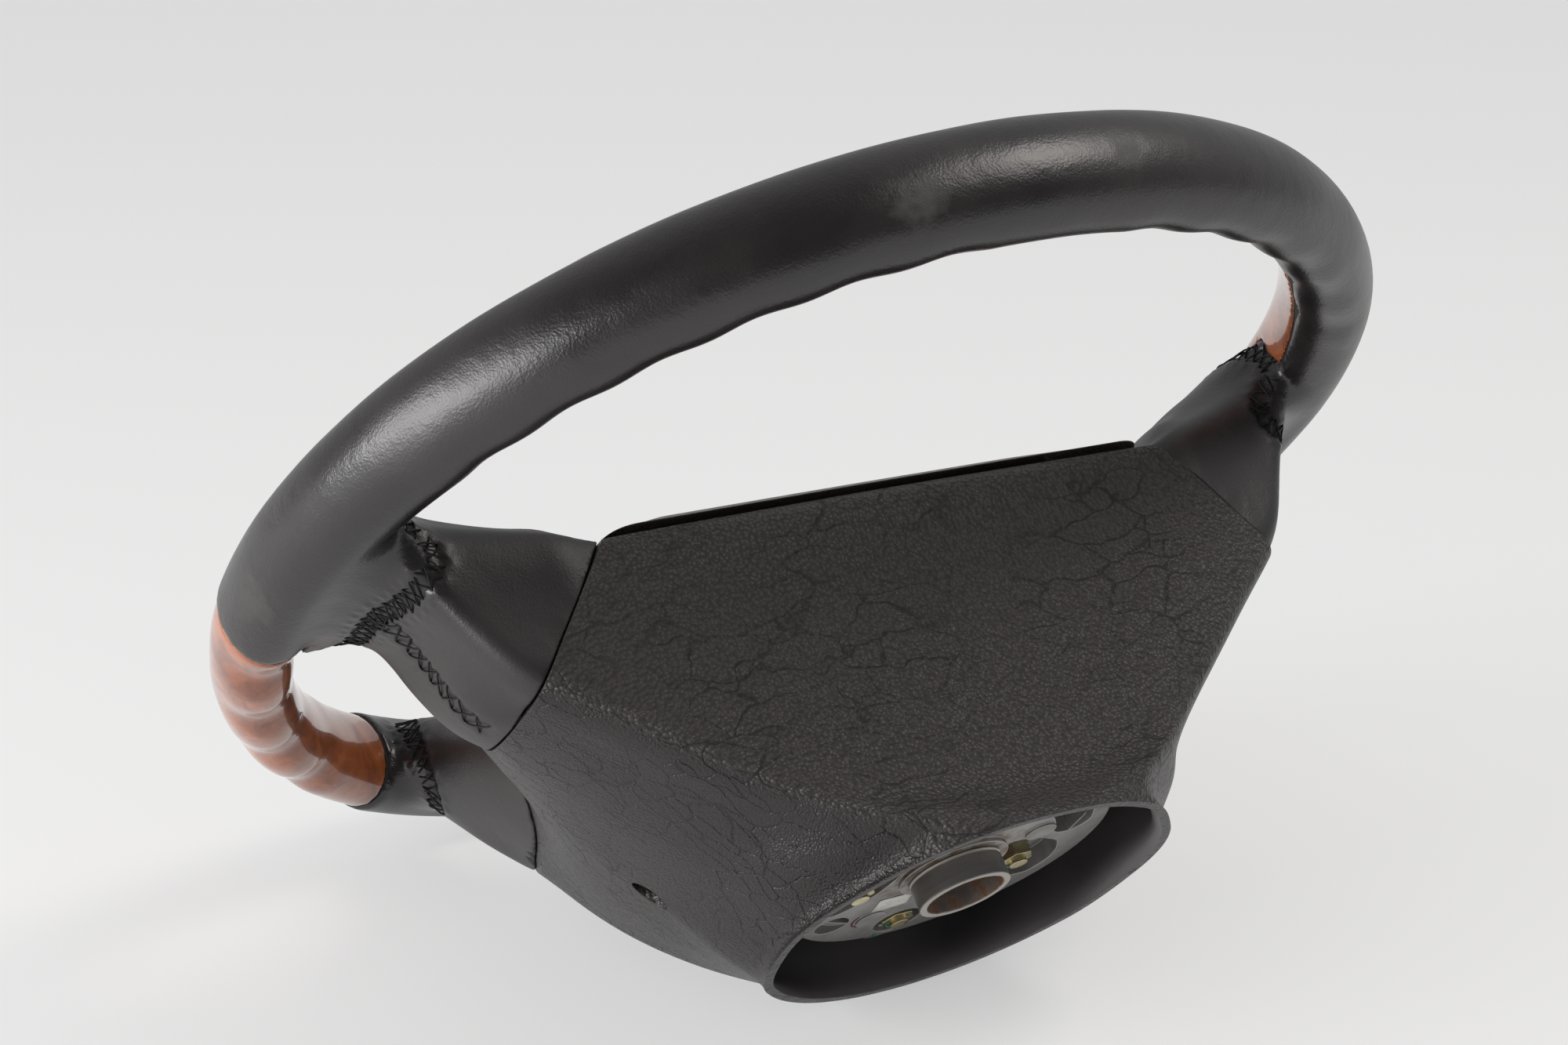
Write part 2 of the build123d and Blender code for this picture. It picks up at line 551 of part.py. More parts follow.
NODES = {
    "armature": armature,
    "hub_sleeve": hub_sleeve,
    "foam_upper": foam_upper,
    "foam_lower": foam_lower,
    "rim_leather_upper": rim_leather_upper,
    "rim_leather_lower": rim_leather_lower,
    "spoke_leather_upper_right": upper_leather,
    "spoke_leather_upper_left": mirror(upper_leather, Plane.YZ),
    "spoke_leather_lower_right": lower_leather,
    "spoke_leather_lower_left": mirror(lower_leather, Plane.YZ),
    "wood_right": wood,
    "wood_left": mirror(wood, Plane.YZ),
    "rear_cover": cover,
    "cover_screws": Compound(cover_screws),
    "guide_bushes": Compound(bushes),
    "guide_bolts": Compound(bolts),
    "guide_nuts": Compound(nuts),
    "horn_springs": Compound(springs),
    "horn_contacts": Compound(contacts),
    "horn_plate": horn_plate,
    "airbag_screws": Compound(airbag_screws),
    "airbag_tray": tray,
    "inflator": inflator,
    "bag_retainer": retainer,
    "retainer_nuts": Compound(stud_nuts),
    "inflator_plug": plug,
    "folded_bag": bag,
    "airbag_pad": pad,
}
for name, node in NODES.items():
    export_step(Pos(0, -DISH, 0) * node, "parts/" + name + ".step")
    print(name, len(node.solids()), all(solid.is_valid for solid in node.solids()))
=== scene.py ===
import math
import random

import bmesh
import bpy
import numpy as np
from mathutils import Matrix, Vector, kdtree, noise
from mathutils.bvhtree import BVHTree


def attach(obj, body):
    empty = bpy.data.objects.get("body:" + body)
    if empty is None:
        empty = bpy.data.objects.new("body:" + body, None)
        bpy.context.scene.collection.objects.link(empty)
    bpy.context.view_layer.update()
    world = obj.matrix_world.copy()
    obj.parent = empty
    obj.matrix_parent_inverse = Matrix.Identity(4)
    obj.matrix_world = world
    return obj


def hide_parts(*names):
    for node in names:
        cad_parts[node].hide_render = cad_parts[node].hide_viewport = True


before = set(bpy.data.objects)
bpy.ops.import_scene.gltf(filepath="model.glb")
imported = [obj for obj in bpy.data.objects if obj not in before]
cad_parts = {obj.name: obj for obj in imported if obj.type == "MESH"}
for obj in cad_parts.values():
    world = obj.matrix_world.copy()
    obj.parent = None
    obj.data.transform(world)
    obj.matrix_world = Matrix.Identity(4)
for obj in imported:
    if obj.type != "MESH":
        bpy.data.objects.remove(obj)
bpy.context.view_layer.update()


# Armature: one grey casting of hub plate, arms and the rim's core. Only the plate shows, in
# the cup, with a rough cast skin and a lighter grey along all its edges.
CAST_GREY = (0.36, 0.355, 0.345)
CAST_STAIN = (0.2, 0.19, 0.175)
CAST_RUST = (0.2, 0.12, 0.07)
EDGE_LIGHT_GREY = (0.62, 0.61, 0.6)
RUST_INNER_R = 0.017
RUST_OUTER_R = 0.028
EDGE_WIDTH = 0.0005


def new_finish(name, colour, roughness, metallic=0.0):
    """A material with its node tree, its shader and object coordinates."""
    material = bpy.data.materials.new(name)
    material.use_nodes = True
    tree = material.node_tree
    shader = tree.nodes["Principled BSDF"]
    shader.inputs["Base Color"].default_value = (*colour, 1.0)
    shader.inputs["Roughness"].default_value = roughness
    shader.inputs["Metallic"].default_value = metallic
    place = tree.nodes.new("ShaderNodeTexCoord").outputs["Object"]
    return material, tree, shader, place


def add(tree, kind, inputs=None, **settings):
    """A node with its settings, and inputs that are either values or sockets to link."""
    made = tree.nodes.new("ShaderNode" + kind)
    for key, value in settings.items():
        setattr(made, key, value)
    for key, value in (inputs or {}).items():
        if isinstance(value, bpy.types.NodeSocket):
            tree.links.new(value, made.inputs[key])
        else:
            made.inputs[key].default_value = value
    return made


def noise_of(tree, place, size, detail=3.0, distortion=0.0):
    """Noise whose lumps are about this size in metres."""
    inputs = {"Vector": place, "Scale": 1.0 / size, "Detail": detail, "Distortion": distortion}
    return add(tree, "TexNoise", inputs).outputs["Fac"]


def ramp(tree, value, low, high, to_low=0.0, to_high=1.0):
    """A value brought from one range to another, clamped."""
    inputs = {"Value": value, "From Min": low, "From Max": high, "To Min": to_low, "To Max": to_high}
    return add(tree, "MapRange", inputs).outputs["Result"]


def mix_colour(tree, share, first, second):
    """Two colours mixed by a share, each a colour or a socket."""
    made = tree.nodes.new("ShaderNodeMix")
    made.data_type = "RGBA"
    for socket, value in ((made.inputs[0], share), (made.inputs[6], first), (made.inputs[7], second)):
        if isinstance(value, bpy.types.NodeSocket):
            tree.links.new(value, socket)
        elif isinstance(value, (int, float)):
            socket.default_value = value
        else:
            socket.default_value = (*value, 1.0)
    return made.outputs[2]


def maths(tree, operation, first, second=0.0):
    """One step of arithmetic on values or sockets."""
    return add(tree, "Math", {0: first, 1: second}, operation=operation).outputs[0]


def bump(tree, shader, height, depth, strength=1.0, under=None):
    """Relief of a depth in metres on a shader, over an earlier one."""
    inputs = {"Height": height, "Distance": depth, "Strength": strength}
    if under:
        inputs["Normal"] = under
    made = add(tree, "Bump", inputs).outputs["Normal"]
    tree.links.new(made, shader.inputs["Normal"])
    return made


def axis_distance(tree, place):
    """Distance from the steering axis."""
    split = add(tree, "SeparateXYZ", {"Vector": place})
    flat = add(tree, "CombineXYZ", {"X": split.outputs["X"], "Z": split.outputs["Z"]}).outputs[0]
    return add(tree, "VectorMath", {0: flat}, operation="LENGTH").outputs["Value"]


def edge_share_and_rounding(tree, width):
    """A share that is 1 along outer edges, and the rounded normal there."""
    rounded = add(tree, "Bevel", {"Radius": width}, samples=6).outputs["Normal"]
    plain = tree.nodes.new("ShaderNodeNewGeometry").outputs["Normal"]
    match = add(tree, "VectorMath", {0: rounded, 1: plain}, operation="DOT_PRODUCT").outputs["Value"]
    return ramp(tree, match, 0.88, 0.99, 1.0, 0.0), rounded


def dress(node, material):
    """Gives a CAD node its finish."""
    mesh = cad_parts[node].data
    mesh.materials.clear()
    mesh.materials.append(material)


def cast_metal():
    """Grey as-cast metal, stained, with rust near the sleeve and a lighter grey along its edges."""
    material, tree, shader, place = new_finish("cast_grey", (0.4, 0.4, 0.39), 0.5, 0.55)
    stain = ramp(tree, noise_of(tree, place, 0.014, 5), 0.4, 0.7)
    colour = mix_colour(tree, stain, CAST_GREY, CAST_STAIN)
    near = ramp(tree, axis_distance(tree, place), RUST_INNER_R, RUST_OUTER_R, 1.0, 0.0)
    rust = maths(tree, "MULTIPLY", near, ramp(tree, noise_of(tree, place, 0.0035, 5), 0.42, 0.62))
    colour = mix_colour(tree, rust, colour, CAST_RUST)
    # Every edge that the bevel finds is coloured a lighter grey.
    edge, rounded = edge_share_and_rounding(tree, EDGE_WIDTH)
    colour = mix_colour(tree, edge, colour, EDGE_LIGHT_GREY)
    tree.links.new(colour, shader.inputs["Base Color"])
    tree.links.new(ramp(tree, stain, 0, 1, 0.42, 0.6), shader.inputs["Roughness"])
    bump(tree, shader, noise_of(tree, place, 0.0008, 4), 0.00008, 1.0, rounded)
    return material


dress("armature", cast_metal())


# Hub sleeve: a turned steel tube pressed into the plate. Its outside is brushed in rings and
# darker behind a scribed line, its end is bare, and its bore has brown rust.
RING_DARK = (0.16, 0.15, 0.145)
RING_BRIGHT = (0.42, 0.4, 0.385)
BEHIND_LINE = (0.11, 0.095, 0.08)
SCRIBED_BRIGHT = (0.85, 0.82, 0.75)
BARE_END = (0.45, 0.43, 0.4)
BORE_RUST = (0.2, 0.1, 0.05)
SCRIBED_Y = -0.008
SCRIBED_HALF_WIDTH = 0.0004
BORE_R = 0.0125


def turned_steel():
    """Steel with fine turned rings, told apart along its length by depth."""
    material, tree, shader, place = new_finish("turned_steel", (0.4, 0.39, 0.38), 0.36, 0.7)
    depth = add(tree, "SeparateXYZ", {"Vector": place}).outputs["Y"]
    rings = add(tree, "Mapping", {"Vector": place, "Scale": (60, 9000, 60)}).outputs[0]
    lines = add(tree, "TexNoise", {"Vector": rings, "Scale": 1.0, "Detail": 3.0}).outputs["Fac"]
    inside = ramp(tree, axis_distance(tree, place), BORE_R, 0.0131, 1.0, 0.0)
    blotch = ramp(tree, noise_of(tree, place, 0.0045, 6), 0.4, 0.58)
    rust = maths(tree, "MULTIPLY", inside, blotch)
    steel = mix_colour(tree, lines, RING_DARK, RING_BRIGHT)
    before_line = ramp(tree, depth, -0.0085, -0.0075, 0.3, 1.0)
    steel = mix_colour(tree, before_line, BEHIND_LINE, steel)
    scribed = maths(tree, "COMPARE", depth, SCRIBED_Y)
    scribed.node.inputs[2].default_value = SCRIBED_HALF_WIDTH
    steel = mix_colour(tree, scribed, steel, SCRIBED_BRIGHT)
    end = ramp(tree, depth, -0.0006, -0.0002)
    steel = mix_colour(tree, end, steel, BARE_END)
    tree.links.new(mix_colour(tree, rust, steel, BORE_RUST), shader.inputs["Base Color"])
    tree.links.new(ramp(tree, rust, 0, 1, 0.7, 0.15), shader.inputs["Metallic"])
    dull = maths(tree, "MAXIMUM", rust, end)
    tree.links.new(ramp(tree, dull, 0, 1, 0.34, 0.6), shader.inputs["Roughness"])
    rounded = edge_share_and_rounding(tree, EDGE_WIDTH)[1]
    bump(tree, shader, lines, 0.00002, 1.0, rounded)
    return material


dress("hub_sleeve", turned_steel())


# Marks on the plate: a bare white paper label stuck beside the sleeve, and a brown paint line
# drawn by hand round one of the cast pads.
PAPER_WHITE = (0.82, 0.81, 0.77)
PAPER_SOIL = (0.6, 0.58, 0.53)
BROWN_PAINT = (0.16, 0.03, 0.015)
PLATE_BACK = -0.0105
LABEL_SIZE = (0.0121, 0.0092, 1)
LABEL_PLACE = (0.0106, PLATE_BACK + 0.0002, -0.0227)
LABEL_TURN = 7
LABEL_CURL = 0.00015
LABEL_THICKNESS = 0.0001


def paper():
    """White paper with a little soil."""
    material, tree, shader, place = new_finish("label_paper", (0.8, 0.79, 0.76), 0.6)
    soil = ramp(tree, noise_of(tree, place, 0.003, 4), 0.5, 0.75)
    tree.links.new(mix_colour(tree, soil, PAPER_WHITE, PAPER_SOIL), shader.inputs["Base Color"])
    bump(tree, shader, noise_of(tree, place, 0.0006, 2), 0.00002)
    return material


def brushed_paint(name, colour):
    """Paint or varnish laid on by brush, thin in places."""
    material, tree, shader, place = new_finish(name, colour, 0.3)
    thin = ramp(tree, noise_of(tree, place, 0.0012, 3), 0.3, 0.7)
    pale = tuple(0.5 * part + 0.06 for part in colour)
    tree.links.new(mix_colour(tree, thin, colour, pale), shader.inputs["Base Color"])
    bump(tree, shader, noise_of(tree, place, 0.0009, 2), 0.0001)
    return material


def in_scene(name, data):
    """A new object in the scene, with its mesh, curve, lamp or camera."""
    made = bpy.data.objects.new(name, data)
    bpy.context.scene.collection.objects.link(made)
    return made


def coat(piece, material):
    """Gives a new piece its finish and smooth faces."""
    piece.data.materials.clear()
    piece.data.materials.append(material)
    for face in piece.data.polygons:
        face.use_smooth = True


def new_piece(name, shape, material):
    """An object from a bmesh, with its finish."""
    mesh = bpy.data.meshes.new(name)
    shape.to_mesh(mesh)
    shape.free()
    piece = in_scene(name, mesh)
    coat(piece, material)
    return piece


def beads(name, paths, radius, material, taper=False):
    """Round beads or threads along lists of points, as one mesh."""
    line = bpy.data.curves.new(name, "CURVE")
    line.dimensions = "3D"
    line.bevel_depth = radius
    line.bevel_resolution = 1
    line.use_fill_caps = True
    for points in paths:
        spline = line.splines.new("NURBS")
        spline.points.add(len(points) - 1)
        for i, (knot, point) in enumerate(zip(spline.points, points)):
            knot.co = (*point, 1.0)
            knot.radius = 0.35 + 0.65 * math.sin(math.pi * i / (len(points) - 1)) if taper else 1.0
        spline.order_u = 3
        spline.use_endpoint_u = True
        spline.resolution_u = 3
    holder = in_scene(name, line)
    view = bpy.context.evaluated_depsgraph_get()
    shape = bmesh.new()
    shape.from_mesh(bpy.data.meshes.new_from_object(holder.evaluated_get(view)))
    bpy.data.objects.remove(holder)
    bpy.data.curves.remove(line)
    return new_piece(name, shape, material)


def ring_arc(x, y, z, radius, start, end, steps):
    """Points of an arc round a bolt or pad, at clock angles from twelve o'clock."""
    found = []
    for i in range(steps + 1):
        turn = math.radians(start + (end - start) * i / steps)
        found.append((x + radius * math.sin(turn), y, z + radius * math.cos(turn)))
    return found


label = bmesh.new()
bmesh.ops.create_grid(label, x_segments=8, y_segments=6, size=0.5)
bmesh.ops.scale(label, vec=LABEL_SIZE, verts=label.verts)
bmesh.ops.rotate(label, matrix=Matrix.Rotation(math.radians(-90), 3, "X"), verts=label.verts)
bmesh.ops.rotate(label, matrix=Matrix.Rotation(math.radians(LABEL_TURN), 3, "Y"), verts=label.verts)
bmesh.ops.translate(label, vec=LABEL_PLACE, verts=label.verts)
for vertex in label.verts:
    vertex.co.y += LABEL_CURL * noise.noise(vertex.co * 300)
bmesh.ops.solidify(label, geom=label.faces[:], thickness=LABEL_THICKNESS)
bmesh.ops.recalc_face_normals(label, faces=label.faces[:])
plate_label = new_piece("plate_label", label, paper())
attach(plate_label, "wheel")

mark_line = ring_arc(0.014, PLATE_BACK + 0.0001, -0.033, 0.0062, 60, 190, 9)
pad_mark = beads("pad_mark", [mark_line], 0.0003, brushed_paint("brown_paint", BROWN_PAINT), True)
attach(pad_mark, "wheel")


# Horn guide: plastic bushes in the plate's pockets, zinc plated bolts and nuts, springs, brass
# contact studs and the pressed horn plate. The nuts carry dabs of green locking varnish.
NUT_TOP = -0.0104
DAB_R = 0.0042
DAB_THICKNESS = 0.00075
GREEN_VARNISH = (0.0, 0.16, 0.06)


def plated(name, bright, dull):
    """Plated metal whose colour clouds from bright to dull."""
    material, tree, shader, place = new_finish(name, bright, 0.3, 1.0)
    cloud = ramp(tree, noise_of(tree, place, 0.004, 4), 0.3, 0.7)
    tree.links.new(mix_colour(tree, cloud, bright, dull), shader.inputs["Base Color"])
    tree.links.new(ramp(tree, cloud, 0, 1, 0.2, 0.4), shader.inputs["Roughness"])
    rounded = edge_share_and_rounding(tree, 0.0004)[1]
    bump(tree, shader, noise_of(tree, place, 0.0006, 2), 0.00001, 1.0, rounded)
    return material


def moulded(name, colour, roughness=0.5):
    """Plain moulded plastic or foam."""
    material, tree, shader, place = new_finish(name, colour, roughness)
    shade = ramp(tree, noise_of(tree, place, 0.02), 0.3, 0.7)
    darker = tuple(0.8 * part for part in colour)
    tree.links.new(mix_colour(tree, shade, colour, darker), shader.inputs["Base Color"])
    bump(tree, shader, noise_of(tree, place, 0.0004, 2), 0.00002)
    return material


yellow_zinc = plated("yellow_zinc", (0.85, 0.76, 0.5), (0.6, 0.53, 0.3))
grey_zinc = plated("grey_zinc", (0.5, 0.5, 0.49), (0.33, 0.33, 0.33))
for node in ("guide_nuts", "guide_bolts", "cover_screws", "airbag_screws", "retainer_nuts"):
    dress(node, yellow_zinc)
for node in ("horn_plate", "airbag_tray", "bag_retainer", "inflator", "horn_springs"):
    dress(node, grey_zinc)
dress("horn_contacts", plated("contact_brass", (0.75, 0.55, 0.25), (0.5, 0.36, 0.15)))
dress("guide_bushes", moulded("bush_plastic", (0.06, 0.06, 0.06)))
dress("inflator_plug", moulded("plug_plastic", (0.75, 0.55, 0.05)))

dabs = [
    ring_arc(-0.029, NUT_TOP, -0.01, DAB_R, 120, 250, 8),
    ring_arc(-0.029, NUT_TOP - 0.0004, -0.01, 0.0047, 150, 225, 6),
    ring_arc(0.0, NUT_TOP, -0.041, DAB_R, 90, 215, 8),
    ring_arc(0.029, NUT_TOP, -0.01, DAB_R, 150, 260, 8),
]
green_varnish = brushed_paint("green_varnish", GREEN_VARNISH)
varnish = beads("locking_varnish", dabs, DAB_THICKNESS, green_varnish, True)
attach(varnish, "horn_pad")
spill = ring_arc(0.0035, PLATE_BACK, -0.0505, 0.001, 40, 220, 5)
varnish_spill = beads("varnish_spill", [spill], 0.0006, green_varnish, True)
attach(varnish_spill, "wheel")


# Folded bag and foam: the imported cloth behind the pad, and the black foam moulded round the
# arms and the core, which the leather is pulled over.
def woven_cloth():
    """Pale cloth with a fine weave."""
    material, tree, shader, place = new_finish("bag_cloth", (0.75, 0.74, 0.7), 0.9)
    weave = add(tree, "TexWave", {"Vector": place, "Scale": 900.0}, bands_direction="X").outputs["Fac"]
    bump(tree, shader, weave, 0.0001)
    return material


dress("folded_bag", woven_cloth())
foam_finish = moulded("moulded_foam", (0.03, 0.03, 0.03), 0.85)
for node in ("foam_upper", "foam_lower"):
    dress(node, foam_finish)


# Leather of the rim and the spokes: black hide pulled tight over the foam, so that it rounds
# every edge, with soft dips where fingers lie and one turned-in edge at the cover's seams.
SEAM_TOP = Vector((0.1, -0.1135, 0.0))
SEAM_TOP_OUT = Vector((40, -32, 0)).normalized()
SEAM_LOW = Vector((0.083, 0.0, -0.087))
SEAM_LOW_OUT = Vector((47, 0, -18)).normalized()
RUN_ON = 0.008              # how far a spoke's end is drawn on before it is cut at the seam
SKIN_CELL = 0.00146
SKIN_ROUNDS = 9
HUG_FULL = 0.008            # up to here from the seam a skin keeps its true form
HUG_END = 0.024
LEVEL_END = 0.035           # and up to here it is brought level with the cover
GRIP_R = 0.18
GRIP_Y = -0.1395
FIRST_DIP = 11.5            # clock angle of the first finger dip, and their pitch and depth
DIP_PITCH = 9.3
DIP_DEPTH = 0.0009
DIPS_BEGIN = (5, 9)         # clock angles over which the dips begin and end
DIPS_END = (58, 63)
LUMP_DEPTH = 0.00025
LEATHER_BLACK = (0.0105, 0.0085, 0.0088)
LEATHER_WORN = (0.021, 0.0172, 0.0168)
SCUFF_GREY = (0.11, 0.105, 0.1)
SCUFFS = (
    ((0.0484, -0.132, 0.1876), 0.016),
    ((-0.02, -0.137, 0.1938), 0.012),
    ((0.191, -0.1322, 0.0074), 0.018),
)


def joined_copy(name, nodes):
    """One new object from copies of CAD nodes, with their loose triangles merged."""
    shape = bmesh.new()
    for node in nodes:
        shape.from_mesh(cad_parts[node].data)
    bmesh.ops.remove_doubles(shape, verts=shape.verts, dist=0.000002)
    mesh = bpy.data.meshes.new(name)
    shape.to_mesh(mesh)
    shape.free()
    return in_scene(name, mesh)


def even_skin(piece, cell, rounds):
    """Gives a piece an even mesh of a cell size, smoothed so that its edges are soft."""
    remesh = piece.modifiers.new("cells", "REMESH")
    remesh.mode = "VOXEL"
    remesh.voxel_size = cell
    soften = piece.modifiers.new("soften", "SMOOTH")
    soften.factor = 0.5
    soften.iterations = rounds
    view = bpy.context.evaluated_depsgraph_get()
    mesh = bpy.data.meshes.new_from_object(piece.evaluated_get(view))
    piece.modifiers.clear()
    piece.data = mesh


def tree_of(mesh):
    """A search tree of a mesh's faces."""
    shape = bmesh.new()
    shape.from_mesh(mesh)
    found = BVHTree.FromBMesh(shape)
    shape.free()
    return found


core_faces = tree_of(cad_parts["armature"].data)


def drop_core(piece, reach):
    """Deletes the inner faces, which look at the casting from close by."""
    shape = bmesh.new()
    shape.from_mesh(piece.data)
    inner = []
    for face in shape.faces:
        centre = face.calc_center_median()
        near = core_faces.find_nearest(centre, reach)[0]
        if near and (near - centre).dot(face.normal) > -0.0002:
            inner.append(face)
    bmesh.ops.delete(shape, geom=inner, context="FACES")
    shape.to_mesh(piece.data)
    shape.free()


def flipped(vector):
    """The same place or direction on the other side of the wheel."""
    return Vector((-vector.x, vector.y, vector.z))


def both_sides(point, out):
    """A seam's place and direction on the right and on the left."""
    return (point, out), (flipped(point), flipped(out))


def by_top_seam(place):
    """Tells whether a place is near an upper spoke's seam."""
    return abs(place.z) < 0.07 and 0.05 < abs(place.x) < 0.15


def by_low_seam(place):
    """The same for a lower spoke."""
    return math.hypot(place.x, place.z) < 0.16 and abs(place.x) > 0.03 and place.z < -0.02


def places(mesh):
    """The places of a mesh's vertices as an array."""
    found = np.empty(len(mesh.vertices) * 3)
    mesh.vertices.foreach_get("co", found)
    return found.reshape(-1, 3)


def outward(mesh):
    """The normals of a mesh's vertices as an array."""
    found = np.empty(len(mesh.vertices) * 3)
    mesh.vertex_normals.foreach_get("vector", found)
    return found.reshape(-1, 3)


def put_back(mesh, table):
    """Moves a mesh's vertices to the places in an array."""
    mesh.vertices.foreach_set("co", table.ravel())
    mesh.update()


def rise(values, low, high):
    """A soft step from 0 to 1 between two limits."""
    share = np.clip((values - low) / (high - low), 0, 1)
    return share * share * (3 - 2 * share)


def run_on(piece, point, out, near):
    """Draws the end of a spoke on past its seam, so that it can be cut clean later."""
    for vertex in piece.data.vertices:
        gap = (vertex.co - point).dot(out)
        if near(vertex.co) and vertex.co.x * out.x > 0 and abs(gap - 0.0005) < 0.00002:
            vertex.co -= out * RUN_ON


def hug(piece, faces, point, out, near):
    """Presses a softened skin back onto its true form beside a seam."""
    table, facings = places(piece.data), outward(piece.data)
    for i in range(len(table)):
        place, facing = Vector(table[i]), Vector(facings[i])
        gap = (place - point).dot(out)
        if near(place) and place.x * out.x > 0 and gap < HUG_END:
            spot = faces.ray_cast(place + facing * 0.004, -facing, 0.007)[0]
            if spot:
                table[i] = place.lerp(spot, 1 - rise(gap, HUG_FULL, HUG_END))
    put_back(piece.data, table)


def meet_cover(piece, cover, point, out, near):
    """Brings a spoke's skin level with the cover's edge at a seam."""
    table, facings = places(piece.data), outward(piece.data)
    for i in range(len(table)):
        place, facing = Vector(table[i]), Vector(facings[i])
        gap = (place - point).dot(out)
        if not (near(place) and place.x * out.x > 0 and gap < LEVEL_END):
            continue
        level = facing - out * facing.dot(out)
        if level.length < 0.3:
            continue
        level.normalize()
        foot = place - out * (gap + 0.0006)
        spot = cover.ray_cast(foot + level * 0.012, -level, 0.016)[0]
        if spot:
            lift = ((spot - foot).dot(level) - 0.0002) * (1 - rise(abs(place.z), 0.016, 0.03))
            table[i] = place + level * lift * (1 - rise(gap, 0.004, LEVEL_END))
    put_back(piece.data, table)


def turn_in(piece, point, out, near):
    """Cuts a spoke's leather at its seam and turns the edge in."""
    shape = bmesh.new()
    shape.from_mesh(piece.data)
    past = []
    for face in shape.faces:
        centre = face.calc_center_median()
        gap = (centre - point).dot(out)
        if near(centre) and centre.x * out.x > 0 and -0.02 < gap < 0.006:
            past.append(face)
    edges = list({edge for face in past for edge in face.edges})
    corners = list({corner for face in past for corner in face.verts})
    cut = bmesh.ops.bisect_plane(shape, geom=past + edges + corners, dist=0.0000001,
                                 plane_co=point + out * 0.0008, plane_no=-out, clear_outer=True)
    shape.normal_update()
    rim = [part for part in cut["geom_cut"] if isinstance(part, bmesh.types.BMEdge)]
    normals = {vertex: vertex.normal.copy() for edge in rim for vertex in edge.verts}
    for inward, onward in ((0.0003, 0.0004), (0.0018, 0.0)):
        grown = bmesh.ops.extrude_edge_only(shape, edges=rim)["geom"]
        fresh = [part for part in grown if isinstance(part, bmesh.types.BMVert)]
        known = {}
        for vertex in fresh:
            others = (edge.other_vert(vertex) for edge in vertex.link_edges)
            known[vertex] = normals[next(other for other in others if other in normals)]
        for vertex in fresh:
            vertex.co -= known[vertex] * inward + out * onward
        normals = known
        rim = [part for part in grown if isinstance(part, bmesh.types.BMEdge)
               and all(vertex in known for vertex in part.verts)]
    shape.to_mesh(piece.data)
    shape.free()


def fill_hollows(piece, rounds, share_of):
    """Rounds the inner corners of a skin as stretched hide does, and leaves its outer ones."""
    mesh = piece.data
    table = places(mesh)
    share = share_of(table)
    ends = np.empty(len(mesh.edges) * 2, dtype=np.int64)
    mesh.edges.foreach_get("vertices", ends)
    ends = ends.reshape(-1, 2)
    ends = ends[(share[ends] > 0).any(axis=1)]
    count = len(table)
    both = np.concatenate([ends, ends[:, ::-1]])
    here, there = both[:, 0], both[:, 1]
    links = np.maximum(np.bincount(here, minlength=count), 1)[:, None]
    moving = share > 0
    for i in range(rounds):
        if i % 12 == 0:
            put_back(mesh, table)
            facing = outward(mesh)
        total = np.stack([np.bincount(here, table[there, k], count) for k in range(3)], axis=1)
        step = total / links - table
        lift = (step * facing).sum(axis=1)[:, None]
        step -= facing * np.where(lift < 0, lift * 0.97, 0)
        table[moving] += (0.5 * share[:, None] * step)[moving]
    put_back(mesh, table)


def upper_corner(table):
    """A share that is 1 where an upper spoke runs into the rim."""
    side = rise(np.abs(table[:, 0]), 0.132, 0.147)
    height = 1 - rise(np.abs(table[:, 2] - 0.002), 0.066, 0.088)
    return side * height * rise(table[:, 1], -0.129, -0.119)


def lower_corner(table):
    """The same for the lower spokes."""
    reach = np.hypot(table[:, 0], table[:, 2])
    near = rise(reach, 0.138, 0.15) * (1 - rise(reach, 0.172, 0.182))
    return near * rise(table[:, 1], -0.137, -0.128)


def soft_lumps(table, size, seed):
    """Slow unevenness of hand laid hide, from -1 to 1."""
    offset = Vector((seed, 2 * seed, 3 * seed))
    return np.array([noise.noise(Vector(row) / size + offset) for row in table])


def take_part(piece, name, wanted):
    """Splits off the faces whose centre passes a test, as a new piece."""
    kept = bmesh.new()
    kept.from_mesh(piece.data)
    taken = kept.copy()
    leaving = [face for face in kept.faces if wanted(face.calc_center_median())]
    bmesh.ops.delete(kept, geom=leaving, context="FACES")
    others = [face for face in taken.faces if not wanted(face.calc_center_median())]
    bmesh.ops.delete(taken, geom=others, context="FACES")
    kept.to_mesh(piece.data)
    kept.free()
    mesh = bpy.data.meshes.new(name)
    taken.to_mesh(mesh)
    taken.free()
    return in_scene(name, mesh)


def patch(tree, place, centre, radius):
    """A share that is 1 round a place and fades out raggedly."""
    gap = add(tree, "VectorMath", {0: place, 1: centre}, operation="DISTANCE").outputs["Value"]
    ragged = maths(tree, "MULTIPLY", noise_of(tree, place, 0.004, 6), radius * 1.2)
    return ramp(tree, maths(tree, "ADD", gap, ragged), radius * 0.7, radius * 1.2, 1.0, 0.0)


def bent(tree, place, scale, detail, amount):
    """Coordinates that waver by noise, so that a pattern on them looks grown."""
    inputs = {"Vector": place, "Scale": scale, "Detail": detail}
    waver = add(tree, "TexNoise", inputs).outputs["Color"]
    inputs = {"Fac": amount, "Color1": place, "Color2": waver}
    return add(tree, "MixRGB", inputs).outputs["Color"]


def cells(tree, place, scale, feature="F1"):
    """Distance in a pattern of rounded cells, so many to the metre."""
    inputs = {"Vector": place, "Scale": scale}
    return add(tree, "TexVoronoi", inputs, feature=feature).outputs["Distance"]


